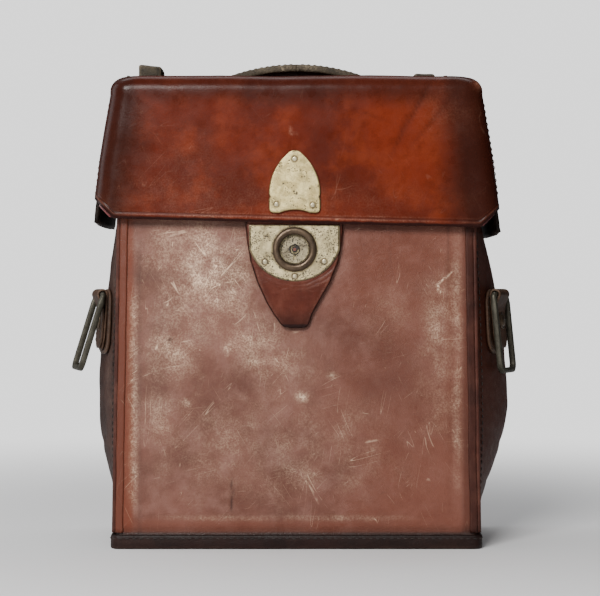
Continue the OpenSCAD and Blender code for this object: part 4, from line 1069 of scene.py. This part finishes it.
def lug(side, word):
    tw = lug_frame(side)
    out = direction(tw, (1, 0, 0))
    # patch: a rounded oblong laid on the bulging gusset
    rings, steps = 12, 72
    oy, oz = squircle(13.0, 17.0, 3.4, steps)
    rows = []
    for k in range(rings + 1):
        f = k / rings
        rows.append(np.stack([np.full(steps, 1.4), oy * f, oz * f], -1))
    for dx, f in ((1.15, 1.015), (0.6, 1.02), (0.0, 1.015)):
        rows.append(np.stack([np.full(steps, dx), oy * f, oz * f], -1))
    p = np.stack(rows)
    wp = tw(p)
    hug = np.clip(gusset_x(wp[..., 1], wp[..., 2], side) + 0.5 - side * tw(p * [0, 1, 1])[..., 0], -4, 1)
    wp[..., 0] += side * hug
    wp[..., 0] += side * 0.12 * wob(wp, 7, 3.0)
    faces = quads(len(rows), steps)
    faces.append([(len(rows) - 1) * steps + j for j in range(steps)])
    wear_and_highlight = np.zeros((len(rows), steps))
    wear_and_highlight[-5:-2] = 0.35
    obj = build(word + "_patch_hide", wp.reshape(-1, 3), faces, LUG, {"wear_and_highlight": wear_and_highlight.reshape(-1)})
    place(obj, "case", "lug_leather", word + "_lug_patch")
    sy, sz = squircle(11.4, 15.4, 3.4, 90)
    line = tw(np.stack([np.full(91, 1.4), np.append(sy, sy[0]), np.append(sz, sz[0])], -1))
    base = tw(np.stack([np.zeros(91), np.append(sy, sy[0]), np.append(sz, sz[0])], -1))
    line[:, 0] += side * np.clip(gusset_x(line[:, 1], line[:, 2], side) + 0.5 - side * base[:, 0], -4, 1)
    threads = stitch_parts(line, out, pitch=3.0, length=2.0, r=0.26, lift=-0.08)
    place(merge(word + "_patch_stitches", threads, THREAD_DARK), "case", "lug_leather")
    # chape: a strap folded round the ring's bar, both tails riveted down
    path = [(1.5, z) for z in np.linspace(-15.5, 10.5, 16)]
    for a in np.linspace(200, -20, 22):
        path.append((4.6 + 3.05 * math.cos(math.radians(a)), 14 + 3.05 * math.sin(math.radians(a))))
    path += [(5.6, 9.5), (4.6, 6.5), (4.1, 3.5)] + [(4.0, z) for z in np.linspace(1, -14.5, 12)]
    path = np.array(path)
    ws = np.linspace(-1, 1, 22)
    w, idx = np.meshgrid(ws, np.arange(len(path)), indexing="ij")
    px, pz = path[idx, 0], path[idx, 1]
    taper = 9.0 * np.sqrt(np.clip((pz + 16.6) / 7.0, 0.12, 1))
    edge = 1 - np.abs(w)
    grid = np.stack([px, w * taper, pz], -1)
    wp = tw(grid)
    wp = wp + out * (0.18 * wob(wp, 9, 5.0) - 0.3 * (1 - smooth(0, 0.12, edge)))[..., None] * (px > 3.0)[..., None]
    n = grid_normals(wp)
    outer = n[11, len(path) - 4] @ out
    attrs = {"wear_and_highlight": 0.5 * ridge(edge, 0.03, 0.05) + 0.25 * (pz > 15.5), "dirt_and_shade": 0.4 * ridge(edge, 0.16, 0.04)}
    obj = sheet_mesh(word + "_chape_hide", wp, 1.15, LUG, attrs, flip=outer < 0, round_edge=0.2)
    place(obj, "case", "lug_leather", word + "_lug_chape")
    threads = []
    for sgn in (-1, 1):
        zz = np.linspace(7, -11.5, 24)
        seam = tw(np.stack([np.full(24, 4.1), sgn * 7.2 * np.ones(24), zz], -1))
        threads += stitch_parts(seam, out, pitch=2.9, length=2.0, r=0.24, lift=-0.08)
    place(merge(word + "_chape_stitches", threads, THREAD), "case", "lug_leather")
    head = tw(np.array([4.0, 0, 0]))
    prof = [(4.5, 0), (4.55, 0.35), (4.35, 0.75), (3.9, 0.9), (3.5, 0.72), (3.3, 0.75), (3.0, 1.25), (2.3, 1.55),
            (1.2, 1.7), (0.001, 1.75)]
    obj = build(word + "_rivet_head", *turned(prof, head, out, steps=40), BRONZE)
    place(obj, "case", "worn_nickel", word + "_lug_rivet")


lug(-1, "left")
lug(1, "right")


def strap_ring(side, word, swing):
    """A flat-bar rectangular ring; its round top bar turns in the chape's fold."""
    tw = lug_frame(side)
    s = math.radians(swing)
    half, length, r = 11.8, 40.5, 4.0
    loop = []
    for a in np.linspace(0, -90, 9):
        loop.append((half - r + r * math.cos(math.radians(a)), -length + r + r * math.sin(math.radians(a))))
    for a in np.linspace(-90, -180, 9):
        loop.append((-half + r + r * math.cos(math.radians(a)), -length + r + r * math.sin(math.radians(a))))
    for z in np.linspace(-length + r + 2, -2.0, 14):
        loop.append((-half, z))
    for a in np.linspace(180, 90, 6):
        loop.append((-half + 1.6 + 1.6 * math.cos(math.radians(a)), -1.6 + 1.6 * math.sin(math.radians(a))))
    for y in np.linspace(-half + 2.6, half - 2.6, 14):
        loop.append((y, 0.0))
    for a in np.linspace(90, 0, 6):
        loop.append((half - 1.6 + 1.6 * math.cos(math.radians(a)), -1.6 + 1.6 * math.sin(math.radians(a))))
    for z in np.linspace(-2.0, -length + r + 2, 14):
        loop.append((half, z))
    loop = np.array(loop)
    local = np.stack([np.zeros(len(loop)), loop[:, 0], loop[:, 1]], -1)
    c, sn = math.cos(-s), math.sin(-s)
    across_, _, down = local.T
    rot = np.stack([across_ * c + down * sn + 4.6, local[:, 1], -across_ * sn + down * c + 14], -1)
    path = tw(rot)
    nrm = direction(tw, (c, 0, -sn))
    nor = np.tile(nrm, (len(path), 1))
    prof = []
    m = 16
    for k in range(len(loop)):
        top = float(1 - smooth(-5, -2, loop[k, 1]))
        hw = 1.42 + 0.10 * top
        ht = 1.42 + 0.18 * top
        power = 2.0 + 2.4 * top
        sy, sz = squircle(hw, ht, power, m)
        prof.append(np.stack([sy, sz], -1))
    obj = tube(word + "_ring_bar", path, np.array(prof), nor, STEEL, closed=True)
    place(obj, word + "_ring", "dark_steel", word + "_ring")


strap_ring(-1, "left", 13)
strap_ring(1, "right", 0)


# ---------------------------------------------------------------- handle
CROWN = TOP_Z + 11.0
GRIP_R = 104.0
ARC_Z = CROWN - GRIP_R
GRIP_A = math.radians(19.5)
FOOT_X = GRIP_R * math.sin(GRIP_A)
FLAT_X = FOOT_X + 30 * math.sin(GRIP_A)
FLAT_Z = ARC_Z + GRIP_R * math.cos(GRIP_A) - 30 * (1 - math.cos(GRIP_A))


def strap_top(x):
    """Height of the strap's upper face, x counted from its middle."""
    arc = ARC_Z + np.sqrt(GRIP_R ** 2 - np.clip(x, 0, FOOT_X) ** 2)
    foot = FLAT_Z + 30 - np.sqrt(30 ** 2 - np.clip(FLAT_X - x, 0, 30 * math.sin(GRIP_A)) ** 2)
    return np.where(x < FOOT_X, arc, foot)


def strap_half(side, length, word):
    """Half the handle strap: a doubled grip that thins to a single strap with a folded stop at its end."""
    xs = np.concatenate([np.linspace(0, 50, 60), np.linspace(51, length, 34)])
    m = 40
    ang = np.arange(m) * 2 * np.pi / m
    rows, wear_and_highlight, dirt_and_shade = [], [], []
    for x in xs:
        top = float(strap_top(np.array(x)))
        grip = float(1 - smooth(30, 40, np.array(x)))
        slope = (float(strap_top(np.array(x + 0.1))) - top) / 0.1
        thick = 2.8 + 1.8 * grip
        if x > length - 2.6:
            thick = 2.8
        hw = 10.0 + 0.8 * grip
        oy, oz = squircle(hw, thick / 2, 5.0, m)
        lift = 1.7 * float(smooth(length - 3.2, length - 1.6, np.array(x)))
        oz = np.where(oz > 0, oz + lift, oz)
        nx, nz = -slope / math.hypot(1, slope), 1 / math.hypot(1, slope)
        rows.append(np.stack([x + oz * nx, oy, top - thick / 2 + oz * nz], -1))
        near = np.abs(np.abs(oy) - hw) < 1.0
        wear_and_highlight.append(np.where(near, 0.35, 0.0) + np.where(oz > 0, 0.55 * math.exp(-(x / 12) ** 2), 0))
        dirt_and_shade.append(np.where(np.abs(np.abs(oy) - hw + 2.4) < 0.5, 0.35, 0.0))
    p = np.stack(rows)
    crumple = wob(p, 5, 4.0, 3)
    p[..., 2] += 0.16 * crumple
    p[..., 1] += 0.22 * wob(p, 6, 8.0, 2)
    fray = np.exp(-(p[..., 0] / 13) ** 2)
    p[..., 2] += fray * 0.22 * wob(p, 1.6, 2.0, 2)
    p[..., 0] *= side
    attrs = {"wear_and_highlight": np.clip(np.array(wear_and_highlight), 0, 1).reshape(-1), "dirt_and_shade": np.array(dirt_and_shade).reshape(-1)}
    obj = build("handle_%s_strap" % word, p.reshape(-1, 3), quads(len(xs), m, ends=True), STRAP, attrs)
    body_end = "handle_%s_end" % word
    threads = []
    for edge in (-8.0, 8.0):
        xs2 = np.linspace(1.5, length - 4, 70)
        tops = strap_top(xs2)
        slope = np.gradient(tops, xs2)
        nor = np.stack([-side * slope, np.zeros(70), np.ones(70)], -1)
        seam = np.stack([side * xs2, np.full(70, edge), tops + 0.05], -1)
        threads += stitch_parts(seam, nor, pitch=3.2, length=2.2, r=0.26, lift=-0.14)
    sewn = merge("handle_%s_stitches" % word, threads, THREAD)
    for o in (obj, sewn):
        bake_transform(o)
    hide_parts(body_end)
    return obj


left_strap = strap_half(-1, 91.8, "left")
right_strap = strap_half(1, 81.4, "right")
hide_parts("handle_grip")


def keeper(x0, x1, h0, h1, word):
    """A leather loop over the strap. Its top falls from h0 at x0 to h1 at x1."""
    inner = 10.5
    us = np.linspace(0, 1, 18)
    prof = [(-inner - 7.8, 1.4), (-inner - 5, 1.45), (-inner - 2.6, 1.5), (-inner - 1.8, 1.9), (-inner - 1.6, 2.8)]
    path = []
    for u in us:
        h = h0 + (h1 - h0) * u
        r = min(3.2, h * 0.42)
        line = list(prof)
        for z in np.linspace(3.2, max(h - r, 3.3), 6):
            line.append((-inner - 1.6, z))
        for a in np.linspace(170, 90, 8):
            line.append((-inner - 1.6 + r + r * math.cos(math.radians(a)), h - r + r * math.sin(math.radians(a))))
        half = line + [(0.0, h + 0.25)]
        mirrored = [(-y, z) for y, z in reversed(line)]
        path.append(half + mirrored)
    path = np.array(path)
    u = np.broadcast_to(us[:, None], path.shape[:2])
    x = x0 + (x1 - x0) * u
    p = np.stack([x, path[..., 0], TOP_Z + path[..., 1]], -1)
    edge = np.minimum(u, 1 - u) * (x1 - x0)
    drop = 0.55 * (1 - smooth(0, 1.6, edge)) ** 2
    n = grid_normals(p)
    flip = n[9, path.shape[1] // 2, 2] < 0
    if flip:
        n = -n
    p = p + n * (0.25 * wob(p, 8, 3.0)[..., None] - drop[..., None])
    wear_and_highlight = 0.45 * ridge(edge, 0.5, 0.7) + 0.3 * (p[..., 2] > TOP_Z + h1 * 0.9)
    attrs = {"wear_and_highlight": wear_and_highlight, "dirt_and_shade": 0.4 * ridge(edge, 2.0, 0.4)}
    obj = sheet_mesh(word + "_keeper_loop", p, 1.35, STRAP, attrs, flip=flip, round_edge=0.2)
    place(obj, "lid", "strap_leather", word + "_keeper")


keeper(-85.2, -72.8, 10.9, 9.4, "left")
keeper(63.4, 74.6, 5.8, 5.6, "right")
heads = [rivet((x, s * 15.2, TOP_Z + 1.3), (0, 0, 1), 2.3, 0.9) for x in (-79, 69) for s in (-1, 1)]
place(merge("keeper_rivet_heads", heads, BRONZE), "lid", "dark_brass", "keeper_rivets")

# ---------------------------------------------------------------- CAD pieces that keep their own shape
for key, mat in {
        "front_board": CARD, "back_board": CARD, "base_board": CARD, "lid_top_board": CARD, "lid_front_board": CARD,
        "body_lining": CLOTH, "lid_lining": CLOTH, "mouth_binding": EDGE, "base_panel": EDGE,
        "lock_base_plate": PITTED, "lock_boss": DISC, "lock_rivets": PITTED, "key_pin": RUST,
        "lock_back_plate": STEEL, "lock_cam": SHADE_BLACK, "lock_bolt": SHADE_BLACK}.items():
    NODES[key].data.materials.clear()
    NODES[key].data.materials.append(mat)

# ---------------------------------------------------------------- camera, floor and light
DISTANCE = 0.900
PICTURE = 600
MM_PER_DOT = 0.52
SENSOR = 36
cam_data = bpy.data.cameras.new("camera")
cam = bpy.data.objects.new("camera", cam_data)
bpy.context.scene.collection.objects.link(cam)
cam.location = (0.0018, FRONT_Y * MM - DISTANCE, 0.1305)
cam.rotation_euler = (math.radians(90), 0, 0)
cam_data.sensor_width = SENSOR
cam_data.lens = SENSOR * DISTANCE / (PICTURE * MM_PER_DOT * MM)
cam_data.clip_start = 0.01
bpy.context.scene.camera = cam

# a soft sky that is brightest to the upper left in front, and a plain bright backdrop for the camera
BACKDROP = 1.62
world = bpy.data.worlds.new("studio")
bpy.context.scene.world = world
world.use_nodes = True
g = Graph(tree=world.node_tree, coord="Generated")
towards = Vector((-0.55, -0.75, 0.35)).normalized()
sky = g.ramp(g.node("VectorMath", "Value", {0: g.coord, 1: towards}, operation="DOT_PRODUCT"), -0.7, 1.0, 0.03, 0.50)
soft = world.node_tree.nodes["Background"]
soft.inputs[1].default_value = 1.0
g.put(soft.inputs[0], sky)
seen = g.node("Background", 0, {0: (1.0, 1.0, 1.0), 1: BACKDROP})
pick = g.node("MixShader", 0, {0: g.node("LightPath", "Is Camera Ray"), 1: soft.outputs[0], 2: seen})
g.put(world.node_tree.nodes["World Output"].inputs["Surface"], pick)


def floor_material():
    """Pale floor that fades into the backdrop away from the object."""
    g = Graph("pale_floor")
    mat = g.shade({"Base Color": (0.72, 0.72, 0.73), "Roughness": 0.8, "Specular IOR Level": 0.1})
    emit = g.node("Emission", 0, {0: (1, 1, 1), 1: BACKDROP})
    far = g.ramp(g.node("VectorMath", "Value", {0: g.coord}, operation="LENGTH"), 0.16, 0.75)
    gate = g.times(far, g.node("LightPath", "Is Camera Ray"))
    near = g.tree.nodes["Principled BSDF"].outputs[0]
    g.put(g.tree.nodes["Material Output"].inputs["Surface"], g.node("MixShader", 0, {0: gate, 1: near, 2: emit}))
    return mat


FLOOR = 12.0
floor_mesh = bpy.data.meshes.new("floor")
floor_mesh.from_pydata([(-FLOOR, -FLOOR, 0), (FLOOR, -FLOOR, 0), (FLOOR, FLOOR, 0), (-FLOOR, FLOOR, 0)], [],
                       [(0, 1, 2, 3)])
floor = bpy.data.objects.new("floor", floor_mesh)
bpy.context.scene.collection.objects.link(floor)
floor.data.materials.append(floor_material())


def area(name, where, aim, size, power, colour=(1, 1, 1)):
    light = bpy.data.lights.new(name, "AREA")
    light.shape = "RECTANGLE"
    light.size, light.size_y = size
    light.energy = power
    light.color = colour
    obj = bpy.data.objects.new(name, light)
    bpy.context.scene.collection.objects.link(obj)
    obj.location = where
    obj.rotation_euler = (Vector(aim) - Vector(where)).to_track_quat("-Z", "Y").to_euler()


area("key", (-0.36, -1.02, 0.74), (0, 0, 0.14), (0.5, 0.4), 19, (1.0, 0.985, 0.96))
area("haze", (-0.46, -1.15, 0.16), (0, 0, 0.13), (0.30, 0.8), 0.7, (1.0, 0.99, 0.98))
area("left_rim", (-0.80, 0.10, 0.35), (0, 0, 0.12), (0.4, 0.9), 2.6, (0.93, 0.97, 1.0))
area("top", (0.0, 0.25, 0.95), (0, 0, 0.22), (0.9, 0.35), 3.0, (1.0, 1.0, 1.0))
